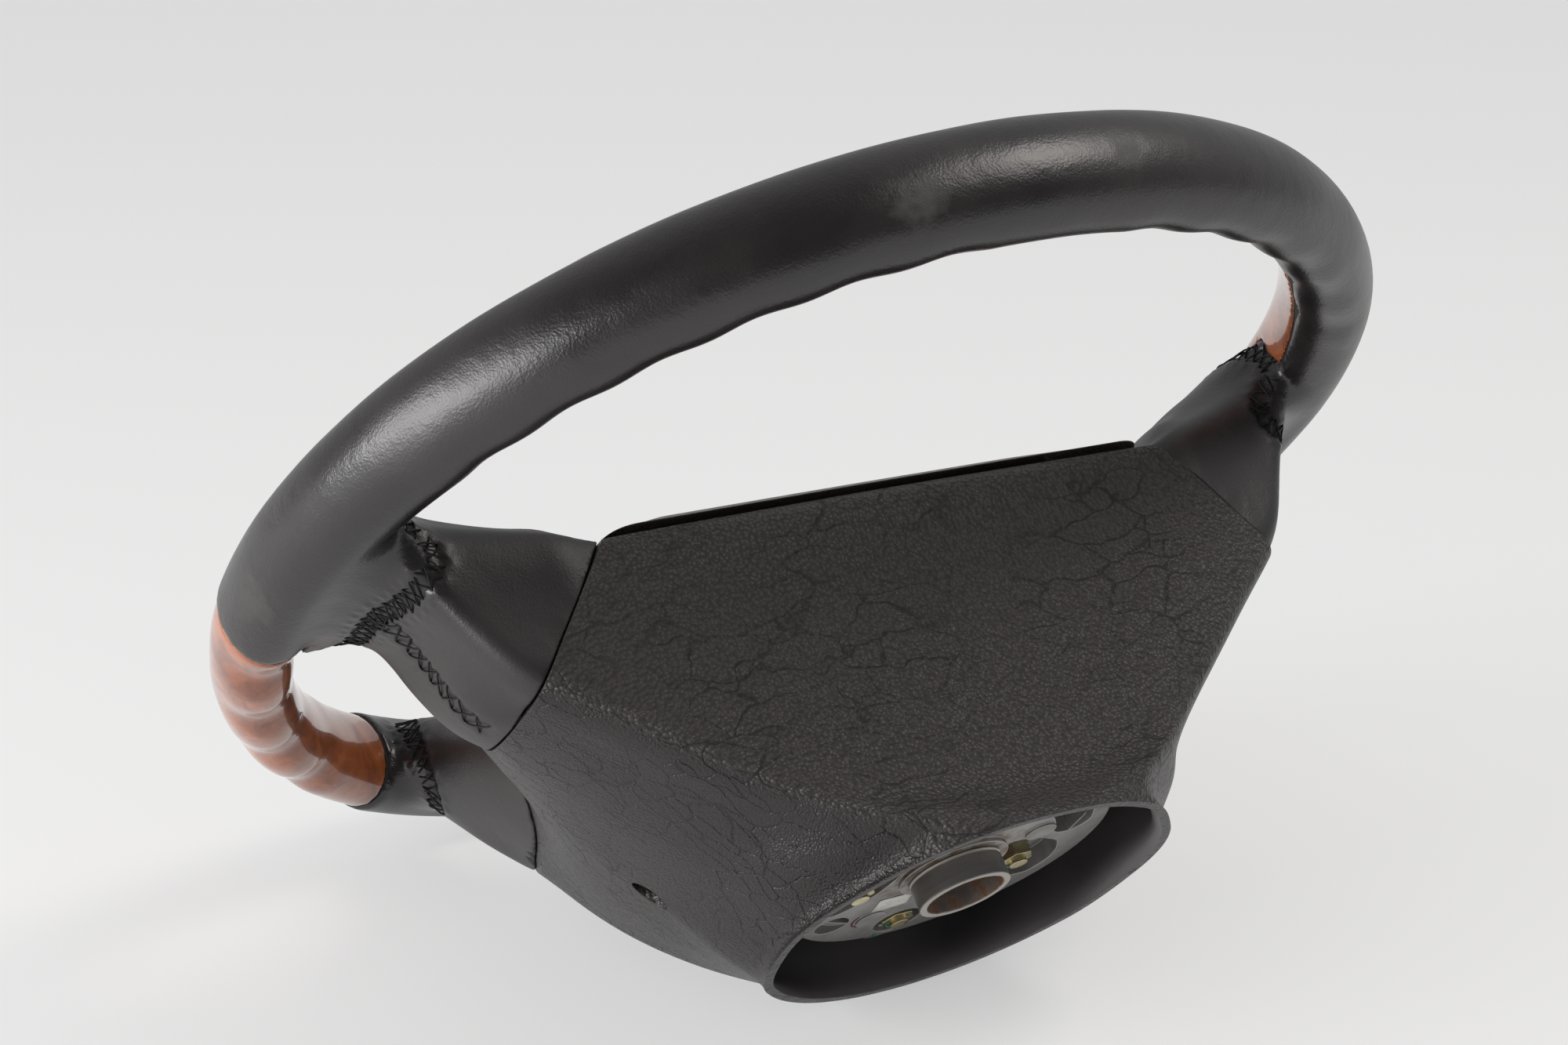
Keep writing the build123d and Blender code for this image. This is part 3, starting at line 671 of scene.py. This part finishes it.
def black_leather():
    """Satin black hide, duller on the spokes, with three scuffed places on the rim."""
    material, tree, shader, place = new_finish("black_leather", (0.012, 0.012, 0.012), 0.4)
    shader.inputs["Specular IOR Level"].default_value = 0.75
    worn = ramp(tree, noise_of(tree, place, 0.05, 6), 0.45, 0.75)
    colour = mix_colour(tree, worn, LEATHER_BLACK, LEATHER_WORN)
    rough = ramp(tree, worn, 0, 1, 0.3, 0.42)
    on_spokes = ramp(tree, axis_distance(tree, place), 0.145, 0.165, 0.16, 0.0)
    rough = maths(tree, "ADD", rough, on_spokes)
    for centre, radius in SCUFFS:
        scuff = patch(tree, place, centre, radius)
        colour = mix_colour(tree, maths(tree, "MULTIPLY", scuff, 0.25), colour, SCUFF_GREY)
        rough = maths(tree, "ADD", rough, maths(tree, "MULTIPLY", scuff, 0.2))
    tree.links.new(colour, shader.inputs["Base Color"])
    tree.links.new(rough, shader.inputs["Roughness"])
    grain = cells(tree, bent(tree, place, 400.0, 2.0, 0.0012), 1300.0)
    under = bump(tree, shader, noise_of(tree, place, 0.012, 3), 0.0006, 0.5)
    under = bump(tree, shader, noise_of(tree, place, 0.0026, 6, 1.0), 0.0002, 0.3, under)
    bump(tree, shader, grain, 0.0001, 0.5, under)
    return material


upper_nodes = ["rim_leather_upper", "spoke_leather_upper_right", "spoke_leather_upper_left", "foam_upper"]
upper_rim = joined_copy("rim_leather_top", upper_nodes)
lower_nodes = ["rim_leather_lower", "spoke_leather_lower_right", "spoke_leather_lower_left", "foam_lower"]
lower_rim = joined_copy("rim_leather_bottom", lower_nodes)
cover_faces = tree_of(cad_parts["rear_cover"].data)
SEAMS = [
    (upper_rim, SEAM_TOP, SEAM_TOP_OUT, by_top_seam),
    (lower_rim, SEAM_LOW, SEAM_LOW_OUT, by_low_seam),
]
for skin, seam, seam_out, near in SEAMS:
    for point, out in both_sides(seam, seam_out):
        run_on(skin, point, out, near)
    true_form = tree_of(skin.data)
    even_skin(skin, SKIN_CELL, SKIN_ROUNDS)
    for point, out in both_sides(seam, seam_out):
        hug(skin, true_form, point, out, near)
    drop_core(skin, 0.002)
for point, out in both_sides(SEAM_TOP, SEAM_TOP_OUT):
    meet_cover(upper_rim, cover_faces, point, out, by_top_seam)
fill_hollows(upper_rim, 240, upper_corner)
fill_hollows(lower_rim, 120, lower_corner)

spots = places(upper_rim.data)
turn = np.abs(np.degrees(np.arctan2(spots[:, 0], spots[:, 2])))
across = np.stack([np.hypot(spots[:, 0], spots[:, 2]) - GRIP_R, spots[:, 1] - GRIP_Y], axis=1)
across /= np.linalg.norm(across, axis=1)[:, None]
inner_back = rise(across @ np.array([-0.75, 0.66]), 0.3, 0.9)
dips = np.cos(np.pi * (turn - FIRST_DIP) / DIP_PITCH) ** 2
dips = dips * rise(turn, *DIPS_BEGIN) * (1 - rise(turn, *DIPS_END))
push = -DIP_DEPTH * dips * inner_back + LUMP_DEPTH * soft_lumps(spots, 0.03, 3) - LUMP_DEPTH
put_back(upper_rim.data, spots + outward(upper_rim.data) * push[:, None])
spots = places(lower_rim.data)
push = LUMP_DEPTH * soft_lumps(spots, 0.025, 5) - LUMP_DEPTH
put_back(lower_rim.data, spots + outward(lower_rim.data) * push[:, None])
leather = black_leather()


# Lacing: black waxed thread sewn crosswise through both edges where the spokes' leather meets
# the rim's, and along the back of each upper spoke. It draws the hide into a puckered groove.
LACE_STEP = 0.0004
LACE_FADE = 0.004
THREAD_R = 0.00031
STITCH = ((0.0, -0.0006), (0.1, 0.0004), (0.35, 0.0004), (0.65, 0.0004), (0.9, 0.0004), (1.0, -0.0006))
NECK_LACE = {"width": 0.0072, "pitch": 0.0042, "seed": 7, "wander": 0.0012, "sunk": 0.0009}
BACK_LACE = {"width": 0.0105, "pitch": 0.005, "seed": 11, "wander": 0.0002, "sunk": 0.0005}
FOOT_LACE = {"width": 0.0072, "pitch": 0.0042, "seed": 13, "wander": 0.0012, "sunk": 0.0009}
NECK = Vector((0.152, -0.1275, 0.0))
NECK_OUT = Vector((0.8957, -0.4448, 0.0))
FOOT_OUT = SEAM_LOW_OUT
FOOT = FOOT_OUT * 0.1315
# The line round a neck and the line along a spoke's back, in millimetres on the right side.
NECK_LINE = [
    (156.5, -131.5, 48.4), (153.3, -128.8, 46.3), (151.2, -126.6, 45.4), (149.2, -122.8, 44.8),
    (149.2, -118.5, 44.6), (151.5, -115.2, 44.6), (154.6, -113.6, 43.5), (156.1, -112.4, 40.3),
    (156.6, -112.7, 33.4), (157.2, -114.6, 25.3), (158.6, -117.2, 17.1), (158.5, -118.9, 7.3),
    (156.8, -120.6, -3.9), (156.0, -123.0, -13.0), (156.5, -128.0, -21.0), (157.5, -136.0, -25.0),
    (158.0, -144.0, -22.0), (158.0, -148.4, -10.0), (158.0, -148.8, 8.0), (158.0, -148.8, 24.0),
    (158.0, -147.8, 37.0), (158.0, -142.0, 46.0), (157.5, -136.0, 49.0), (156.5, -131.5, 48.4),
]
BACK_LINE = [
    (158.4, -117.0, 15), (154, -113.5, 13), (148.2, -107.5, 9.5), (143.3, -99.3, 8.4),
    (137, -89.5, 9.5), (130.5, -80.5, 7.5),
]
SIDES = (("right", 1), ("left", -1))

thread = moulded("waxed_thread", (0.004, 0.004, 0.004), 0.55)
thread.node_tree.nodes["Principled BSDF"].inputs["Specular IOR Level"].default_value = 0.3


def section_line(piece, point, out, near):
    """The ordered points where a plane cuts a skin inside a region, from either end."""
    shape = bmesh.new()
    shape.from_mesh(piece.data)
    faces = [face for face in shape.faces if near(face.calc_center_median())]
    edges = list({edge for face in faces for edge in face.edges})
    corners = list({corner for face in faces for corner in face.verts})
    cut = bmesh.ops.bisect_plane(shape, geom=faces + edges + corners, dist=0.0000001,
                                 plane_co=point, plane_no=out)
    left = {part for part in cut["geom_cut"] if isinstance(part, bmesh.types.BMEdge)}
    best = []
    while left:
        edge = left.pop()
        chain = [edge.verts[0], edge.verts[1]]
        for _ in range(2):
            while True:
                following = next((e for e in chain[-1].link_edges if e in left), None)
                if following is None:
                    break
                left.discard(following)
                chain.append(following.other_vert(chain[-1]))
            chain.reverse()
        if len(chain) > len(best):
            best = chain
    points = [vertex.co.copy() for vertex in best]
    shape.free()
    return points


def even_steps(points, step):
    """Points at even steps along a line of points."""
    found = [points[0]]
    spare = 0.0
    for start, end in zip(points, points[1:]):
        length = (end - start).length
        while spare + length >= step:
            share = (step - spare) / length
            start = start.lerp(end, share)
            length = (end - start).length
            spare = 0.0
            found.append(start)
        spare += length
    return found


def lace(name, piece, line, width, pitch, seed, wander, sunk):
    """Puckers a skin along a line and sews thread crosswise over it."""
    skin = tree_of(piece.data)
    line = even_steps(line, LACE_STEP)
    for _ in range(12):
        middle = [(a + 2 * b + c) / 4 for a, b, c in zip(line, line[1:], line[2:])]
        line = [line[0]] + middle + [line[-1]]
    spots, sides = [], []
    for i, point in enumerate(line):
        spot, normal = skin.find_nearest(point)[:2]
        run = line[min(i + 4, len(line) - 1)] - line[max(i - 4, 0)]
        spots.append(spot)
        sides.append(normal.cross(run).normalized())
    for _ in range(10):
        neighbours = zip(sides[:1] + sides, sides, sides[1:] + sides[-1:])
        sides = [(a + b + c).normalized() for a, b, c in neighbours]
    finder = kdtree.KDTree(len(spots))
    for i, spot in enumerate(spots):
        finder.insert(spot, i)
    finder.balance()

    shape = bmesh.new()
    shape.from_mesh(piece.data)
    marked = {vertex for vertex in shape.verts if finder.find(vertex.co)[2] < 2.2 * width}
    edges = [edge for edge in shape.edges if edge.verts[0] in marked and edge.verts[1] in marked]
    bmesh.ops.subdivide_edges(shape, edges=edges, cuts=1, use_grid_fill=True)
    shape.normal_update()
    moved = []
    for vertex in shape.verts:
        spot, i, gap = finder.find(vertex.co)
        if gap > 4 * width:
            continue
        off = (vertex.co - spot).dot(sides[i])
        along = i * LACE_STEP
        fade = min(1.0, along / LACE_FADE, (len(spots) - i) * LACE_STEP / LACE_FADE)
        beyond = (vertex.co - spot - sides[i] * off).length
        fade *= max(0.0, 1.0 - beyond / (2 * width))
        swing = math.cos(2 * math.pi * along / pitch)
        lip = 0.5 * width * (1 + 0.14 * swing)
        depth = -sunk * math.exp(-((off / (0.75 * lip)) ** 4))
        depth += 0.3 * sunk * math.exp(-(((abs(off) - 1.25 * lip) / 0.0014) ** 2)) * (0.7 + 0.3 * swing)
        fold = noise.noise(Vector((along / 0.006, seed, 0.5 * off / width)))
        depth += 0.00035 * fold * math.exp(-abs(off) / (1.3 * width)) * min(1.0, abs(off) / lip)
        moved.append((vertex, vertex.normal * depth * fade))
    for vertex, step in moved:
        vertex.co += step
    calm = [vertex for vertex, step in moved if step.length > 0.00002]
    bmesh.ops.smooth_vert(shape, verts=calm, factor=0.4, use_axis_x=True, use_axis_y=True, use_axis_z=True)
    shape.to_mesh(piece.data)
    skin = BVHTree.FromBMesh(shape)
    shape.free()

    dice = random.Random(seed)

    def hole(j, side):
        """The step along the line and the place across it of a sewing hole."""
        i = min(max(int((j * pitch + wander * dice.uniform(-1, 1)) / LACE_STEP), 0), len(spots) - 1)
        return i, side * width * (0.5 + 0.4 * wander / pitch * dice.uniform(-1, 1))

    paths = []
    for j in range(int((len(spots) - 1) * LACE_STEP / pitch)):
        for side, top in ((-1, 1.0), (1, 0.5)):
            start, start_off = hole(j, side)
            end, end_off = hole(j + 1, -side)
            points = []
            for share, lift in STITCH:
                i = int(round(start + (end - start) * share))
                off = start_off + (end_off - start_off) * share
                spot, normal = skin.find_nearest(spots[i] + sides[i] * off)[:2]
                raised = 0.0005 * top if 0.2 < share < 0.8 else 0.0
                points.append(spot + normal * (lift + raised))
            paths.append(points)
    threads = beads(name, paths, THREAD_R, thread)
    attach(threads, "wheel")


def in_foot(point):
    """Tells whether a place is where a lower spoke runs into the rim."""
    return math.hypot(point.x, point.z) < 0.166 and point.z < -0.09 and abs(point.x) > 0.04


def hub_side(point, sign):
    """Tells whether a place belongs to the upper spoke's leather on one side."""
    place = flipped(point) if sign < 0 else point
    return place.x > 0 and abs(place.z) < 0.058 and (place - NECK).dot(NECK_OUT) < 0


def low_side(point, sign):
    """The same for the lower spoke's leather."""
    place = flipped(point) if sign < 0 else point
    return place.x > 0 and place.z > -0.15 and (place - FOOT).dot(FOOT_OUT) < 0


for side, sign in SIDES:
    round_neck = [Vector((sign * x, y, z)) / 1000 for x, y, z in NECK_LINE]
    lace("neck_lacing_" + side, upper_rim, round_neck, **NECK_LACE)
    back = [Vector((sign * x, y, z)) / 1000 for x, y, z in BACK_LINE]
    lace("back_lacing_" + side, upper_rim, back, **BACK_LACE)
    foot, foot_out = (FOOT, FOOT_OUT) if sign > 0 else (flipped(FOOT), flipped(FOOT_OUT))
    round_foot = section_line(lower_rim, foot, foot_out, lambda p: in_foot(p) and p.x * sign > 0)
    # Each foot is sewn from the back of the spoke to the front, whichever end the cut began at.
    if round_foot[0].y < round_foot[-1].y:
        round_foot.reverse()
    lace("foot_lacing_" + side, lower_rim, round_foot, **FOOT_LACE)

for skin, seam, seam_out, near in SEAMS:
    for point, out in both_sides(seam, seam_out):
        turn_in(skin, point, out, near)

leather_pieces = {"rim_leather_upper": upper_rim, "rim_leather_lower": lower_rim}
for side, sign in SIDES:
    spoke = take_part(upper_rim, "spoke_leather_top_" + side, lambda p: hub_side(p, sign))
    leather_pieces["spoke_leather_upper_" + side] = spoke
for side, sign in SIDES:
    spoke = take_part(lower_rim, "spoke_leather_low_" + side, lambda p: low_side(p, sign))
    leather_pieces["spoke_leather_lower_" + side] = spoke
for node, piece in leather_pieces.items():
    coat(piece, leather)
    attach(piece, "wheel")
    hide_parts(node)


# Wood: two bent grips of reddish figured wood under thick clear lacquer, ground with finger
# grooves at the back and let into the rim beside the leather.
WOOD_LIGHT = (0.4, 0.115, 0.034)
WOOD_DARK = (0.17, 0.04, 0.012)
WOOD_FLECK = (0.13, 0.032, 0.01)
WOOD_EYE = (0.1, 0.024, 0.008)
WOOD_CELL = 0.0009
WOOD_ROUNDS = 8


def lacquered_wood():
    """Figured wood with dark flecks and eyes, under a clear coat."""
    material, tree, shader, place = new_finish("lacquered_wood", (0.25, 0.08, 0.03), 0.35)
    grown = bent(tree, place, 45.0, 4.0, 0.05)
    figure = noise_of(tree, grown, 0.016, 4, 0.7)
    fleck = noise_of(tree, grown, 0.0035, 4, 1.0)
    eyes = cells(tree, grown, 70.0)
    colour = mix_colour(tree, ramp(tree, figure, 0.32, 0.68), WOOD_LIGHT, WOOD_DARK)
    colour = mix_colour(tree, ramp(tree, fleck, 0.5, 0.75, 0.0, 0.4), colour, WOOD_FLECK)
    colour = mix_colour(tree, ramp(tree, eyes, 0.03, 0.22, 0.5, 0.0), colour, WOOD_EYE)
    tree.links.new(colour, shader.inputs["Base Color"])
    shader.inputs["Coat Weight"].default_value = 1.0
    shader.inputs["Coat Roughness"].default_value = 0.03
    return material


wood_finish = lacquered_wood()
for side, _ in SIDES:
    grip = joined_copy("wood_grip_" + side, ["wood_" + side])
    even_skin(grip, WOOD_CELL, WOOD_ROUNDS)
    drop_core(grip, 0.0012)
    coat(grip, wood_finish)
    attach(grip, "wheel")
    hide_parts("wood_" + side)


# Rear cover: one moulded shell with a pebble grain like hide, coarse and glossy on the upper
# panel and finer on the flanks, with long fine creases and a plain smooth cup inside. Light and
# shade are painted into its colour: the upper panel lighter, the grain's hollows and the creases
# darker, a light line along its edges, and a lighter grey on the cup's wall.
COVER_BLACK = (0.0125, 0.0105, 0.0103)
# Painted light: the cup's wall is painted a lighter grey, standing in for light that reaches into the cup.
CUP_WALL_PAINTED_LIGHT = (0.13, 0.12, 0.125)
CUP_R = 0.088               # no part of the cup's wall is further from the axis
PANEL_CELLS = 700.0
FLANK_CELLS = 1250.0
CREASE_CELLS = 110.0


def rest_of(tree, share):
    """What is left of 1 beside a share."""
    return maths(tree, "SUBTRACT", 1.0, share)


def grained_plastic(name, colour, panel_low, panel_high):
    """Grained plastic, coarse where it faces twelve o'clock by the two limits and painted lighter there,
    with painted shade in its hollows and creases and a painted highlight along its edges.
    """
    material, tree, shader, place = new_finish(name, colour, 0.4)
    shader.inputs["Specular IOR Level"].default_value = 0.5
    normal = tree.nodes["Texture Coordinate"].outputs["Normal"]
    facing = add(tree, "SeparateXYZ", {"Vector": normal}).outputs["Z"]
    panel = ramp(tree, facing, panel_low, panel_high)
    wavy = bent(tree, place, 260.0, 2.0, 0.001)
    coarse = cells(tree, wavy, PANEL_CELLS)
    fine = maths(tree, "MULTIPLY", cells(tree, wavy, FLANK_CELLS), 0.5)
    grain = add(tree, "Mix", {0: panel, 2: fine, 3: coarse}).outputs[0]
    drawn = bent(tree, place, 30.0, 4.0, 0.022)
    drawn = add(tree, "Mapping", {"Vector": drawn, "Scale": (0.4, 1.0, 1.4)}).outputs[0]
    net = cells(tree, drawn, CREASE_CELLS, "DISTANCE_TO_EDGE")
    some = ramp(tree, noise_of(tree, place, 0.05, 3), 0.4, 0.6)
    crease = maths(tree, "MULTIPLY", ramp(tree, net, 0.0, 0.05, 1.0, 0.0), some)
    edge, rounded = edge_share_and_rounding(tree, 0.0007)

    flat = add(tree, "VectorMath", {0: place, 1: (1.0, 0.0, 1.0)}, operation="MULTIPLY").outputs["Vector"]
    inward = add(tree, "VectorMath", {0: flat, 1: normal}, operation="DOT_PRODUCT").outputs["Value"]
    near_cup = ramp(tree, axis_distance(tree, place), CUP_R, CUP_R + 0.0002, 1.0, 0.0)
    in_cup = maths(tree, "MULTIPLY", near_cup, ramp(tree, inward, -0.03, -0.01, 1.0, 0.0))
    crease = maths(tree, "MULTIPLY", crease, rest_of(tree, in_cup))
    pebbles = maths(tree, "MULTIPLY", rest_of(tree, in_cup), rest_of(tree, grain))
    under = bump(tree, shader, pebbles, 0.0008, 0.85, rounded)
    bump(tree, shader, rest_of(tree, crease), 0.0004, 0.8, under)
    rough = ramp(tree, grain, 0.05, 0.55, 0.27, 0.5)
    rough = maths(tree, "ADD", rough, maths(tree, "MULTIPLY", crease, 0.15))
    rough = maths(tree, "MAXIMUM", rough, maths(tree, "MULTIPLY", in_cup, 0.5))
    tree.links.new(rough, shader.inputs["Roughness"])

    def shade(times):
        """The plastic's colour, so many times as light."""
        return tuple(times * part for part in colour)

    cloud = ramp(tree, noise_of(tree, place, 0.035, 5), 0.4, 0.7)
    tone = mix_colour(tree, cloud, colour, shade(1.5))
    # Painted light: the panel that faces twelve o'clock is painted lighter, as if lit from overhead.
    tone = mix_colour(tree, panel, tone, shade(3.6))
    # Painted shade: the hollows between the pebbles are painted darker.
    tone = mix_colour(tree, ramp(tree, grain, 0.3, 0.65, 0.0, 0.5), tone, shade(0.6))
    # Painted shade: the creases are painted darker.
    tone = mix_colour(tree, crease, tone, shade(0.6))
    # Painted highlight: a light line is painted along the cover's edges.
    tone = mix_colour(tree, edge, tone, shade(3.0))
    # Painted light: the cup's wall takes its lighter grey.
    tree.links.new(mix_colour(tree, in_cup, tone, CUP_WALL_PAINTED_LIGHT), shader.inputs["Base Color"])
    return material


dress("rear_cover", grained_plastic("cover_grain", COVER_BLACK, 0.45, 0.8))


# Airbag pad: the moulded front of the hub in a fine even grain, which slides in to sound the
# horn. Its edge shows as a narrow dark band past the cover.
PAD_BROWN_BLACK = (0.03, 0.0255, 0.023)
dress("airbag_pad", grained_plastic("pad_grain", PAD_BROWN_BLACK, 2.0, 3.0))


# Studio: a white table that touches the cup's edge and the foot of the rim, a soft box
# overhead, a long low one at the left like a window, and a long lens.
FLOOR_CUP = Vector((0.0, 0.0035, -0.0662))
FLOOR_RIM = Vector((0.0, -0.1272, -0.1887))
MIDDLE = Vector((0.0, -0.08, 0.0))
TABLE_WHITE = (0.86, 0.855, 0.85)
TABLE_GLOW = 0.5
FILL_LIGHT = 0.46
CAMERA_PLACE = (0.60495, 0.29583, 0.92793)
CAMERA_LENS = 86.81
right = Vector((-0.85075, 0.36315, 0.37992))
down = Vector((0.14737, 0.85871, -0.49081))
forward = Vector((-0.50448, -0.36157, -0.78407))
along = (FLOOR_CUP - FLOOR_RIM).normalized()
up = Vector((1, 0, 0)).cross(along)
side_way = (right - up * right.dot(up)).normalized()
away = (forward - up * forward.dot(up)).normalized()


def white_table():
    """Matt white, which glows a little to the camera and in reflections, and is clear from below."""
    material, tree, shader, _ = new_finish("white_table", TABLE_WHITE, 0.6)
    shader.inputs["Specular IOR Level"].default_value = 0.2
    rays = tree.nodes.new("ShaderNodeLightPath").outputs
    mirrored = maths(tree, "MAXIMUM", rays["Is Glossy Ray"], rays["Is Transmission Ray"])
    seen = maths(tree, "MAXIMUM", rays["Is Camera Ray"], mirrored)
    glow = add(tree, "Emission", {"Color": (0.95, 0.95, 0.95, 1), "Strength": 1.0}).outputs[0]
    share = maths(tree, "MULTIPLY", seen, TABLE_GLOW)
    pale = add(tree, "MixShader", {0: share, 1: shader.outputs[0], 2: glow}).outputs[0]
    below = tree.nodes.new("ShaderNodeNewGeometry").outputs["Backfacing"]
    clear = tree.nodes.new("ShaderNodeBsdfTransparent").outputs[0]
    both = add(tree, "MixShader", {0: below, 1: pale, 2: clear})
    tree.links.new(both.outputs[0], tree.nodes["Material Output"].inputs["Surface"])
    return material


def soft_box(name, toward, distance, width, height, power, colour):
    """A rectangular lamp in a direction from the object, facing it."""
    lamp = bpy.data.lights.new(name, "AREA")
    lamp.shape = "RECTANGLE"
    lamp.size = width
    lamp.size_y = height
    lamp.energy = power
    lamp.color = colour
    spot = toward.normalized()
    back = Vector((0, 0, 1)) if abs(spot.dot(up)) > 0.95 else up
    level = back.cross(spot).normalized()
    holder = in_scene(name, lamp)
    holder.rotation_mode = "QUATERNION"
    holder.rotation_quaternion = Matrix((level, spot.cross(level), spot)).transposed().to_quaternion()
    holder.location = MIDDLE + spot * distance
    holder.visible_camera = False


table_turn = Matrix((Vector((1, 0, 0)), along, up)).transposed().to_4x4()
table_place = Matrix.Translation(FLOOR_RIM - up * 0.001)
table_mesh = bpy.data.meshes.new("table")
shape = bmesh.new()
bmesh.ops.create_grid(shape, x_segments=1, y_segments=1, size=6.0)
bmesh.ops.transform(shape, matrix=table_place @ table_turn, verts=shape.verts)
shape.to_mesh(table_mesh)
shape.free()
table_mesh.materials.append(white_table())
in_scene("table", table_mesh)

soft_box("overhead_light", up * 0.82 + side_way * 0.55 - away * 0.05, distance=1.6,
         width=0.8, height=0.6, power=8.0, colour=(1.0, 0.945, 0.915))
soft_box("window_light", up * 0.22 - side_way * 0.85 - away * 0.5, distance=1.5,
         width=1.3, height=0.5, power=20.5, colour=(1.0, 0.99, 0.99))

world = bpy.data.worlds.new("studio")
world.use_nodes = True
bpy.context.scene.world = world
sky = world.node_tree
white = sky.nodes["Background"]
white.inputs["Color"].default_value = (0.9, 0.9, 0.9, 1)
looking = sky.nodes.new("ShaderNodeTexCoord").outputs["Generated"]
facing = add(sky, "VectorMath", {0: looking, 1: away}, operation="DOT_PRODUCT").outputs["Value"]
room = add(sky, "Background", {"Strength": ramp(sky, facing, -0.4, 0.5, 0.1, 0.6)})
fill = add(sky, "Background", {"Color": (0.98, 0.99, 1.0, 1), "Strength": FILL_LIGHT})
rays = sky.nodes.new("ShaderNodeLightPath").outputs
mirrored = maths(sky, "MAXIMUM", rays["Is Glossy Ray"], rays["Is Transmission Ray"])
unseen = add(sky, "MixShader", {0: mirrored, 1: fill.outputs[0], 2: room.outputs[0]}).outputs[0]
seen = add(sky, "MixShader", {0: rays["Is Camera Ray"], 1: unseen, 2: white.outputs[0]}).outputs[0]
sky.links.new(seen, sky.nodes["World Output"].inputs["Surface"])

lens = bpy.data.cameras.new("camera")
lens.sensor_width = 36.0
lens.lens = CAMERA_LENS
lens.clip_start = 0.01
lens.clip_end = 50.0
camera = in_scene("camera", lens)
camera.rotation_mode = "QUATERNION"
camera.rotation_quaternion = Matrix((right, -down, -forward)).transposed().to_quaternion()
camera.location = CAMERA_PLACE
bpy.context.scene.camera = camera
bpy.context.scene.view_settings.view_transform = "Standard"
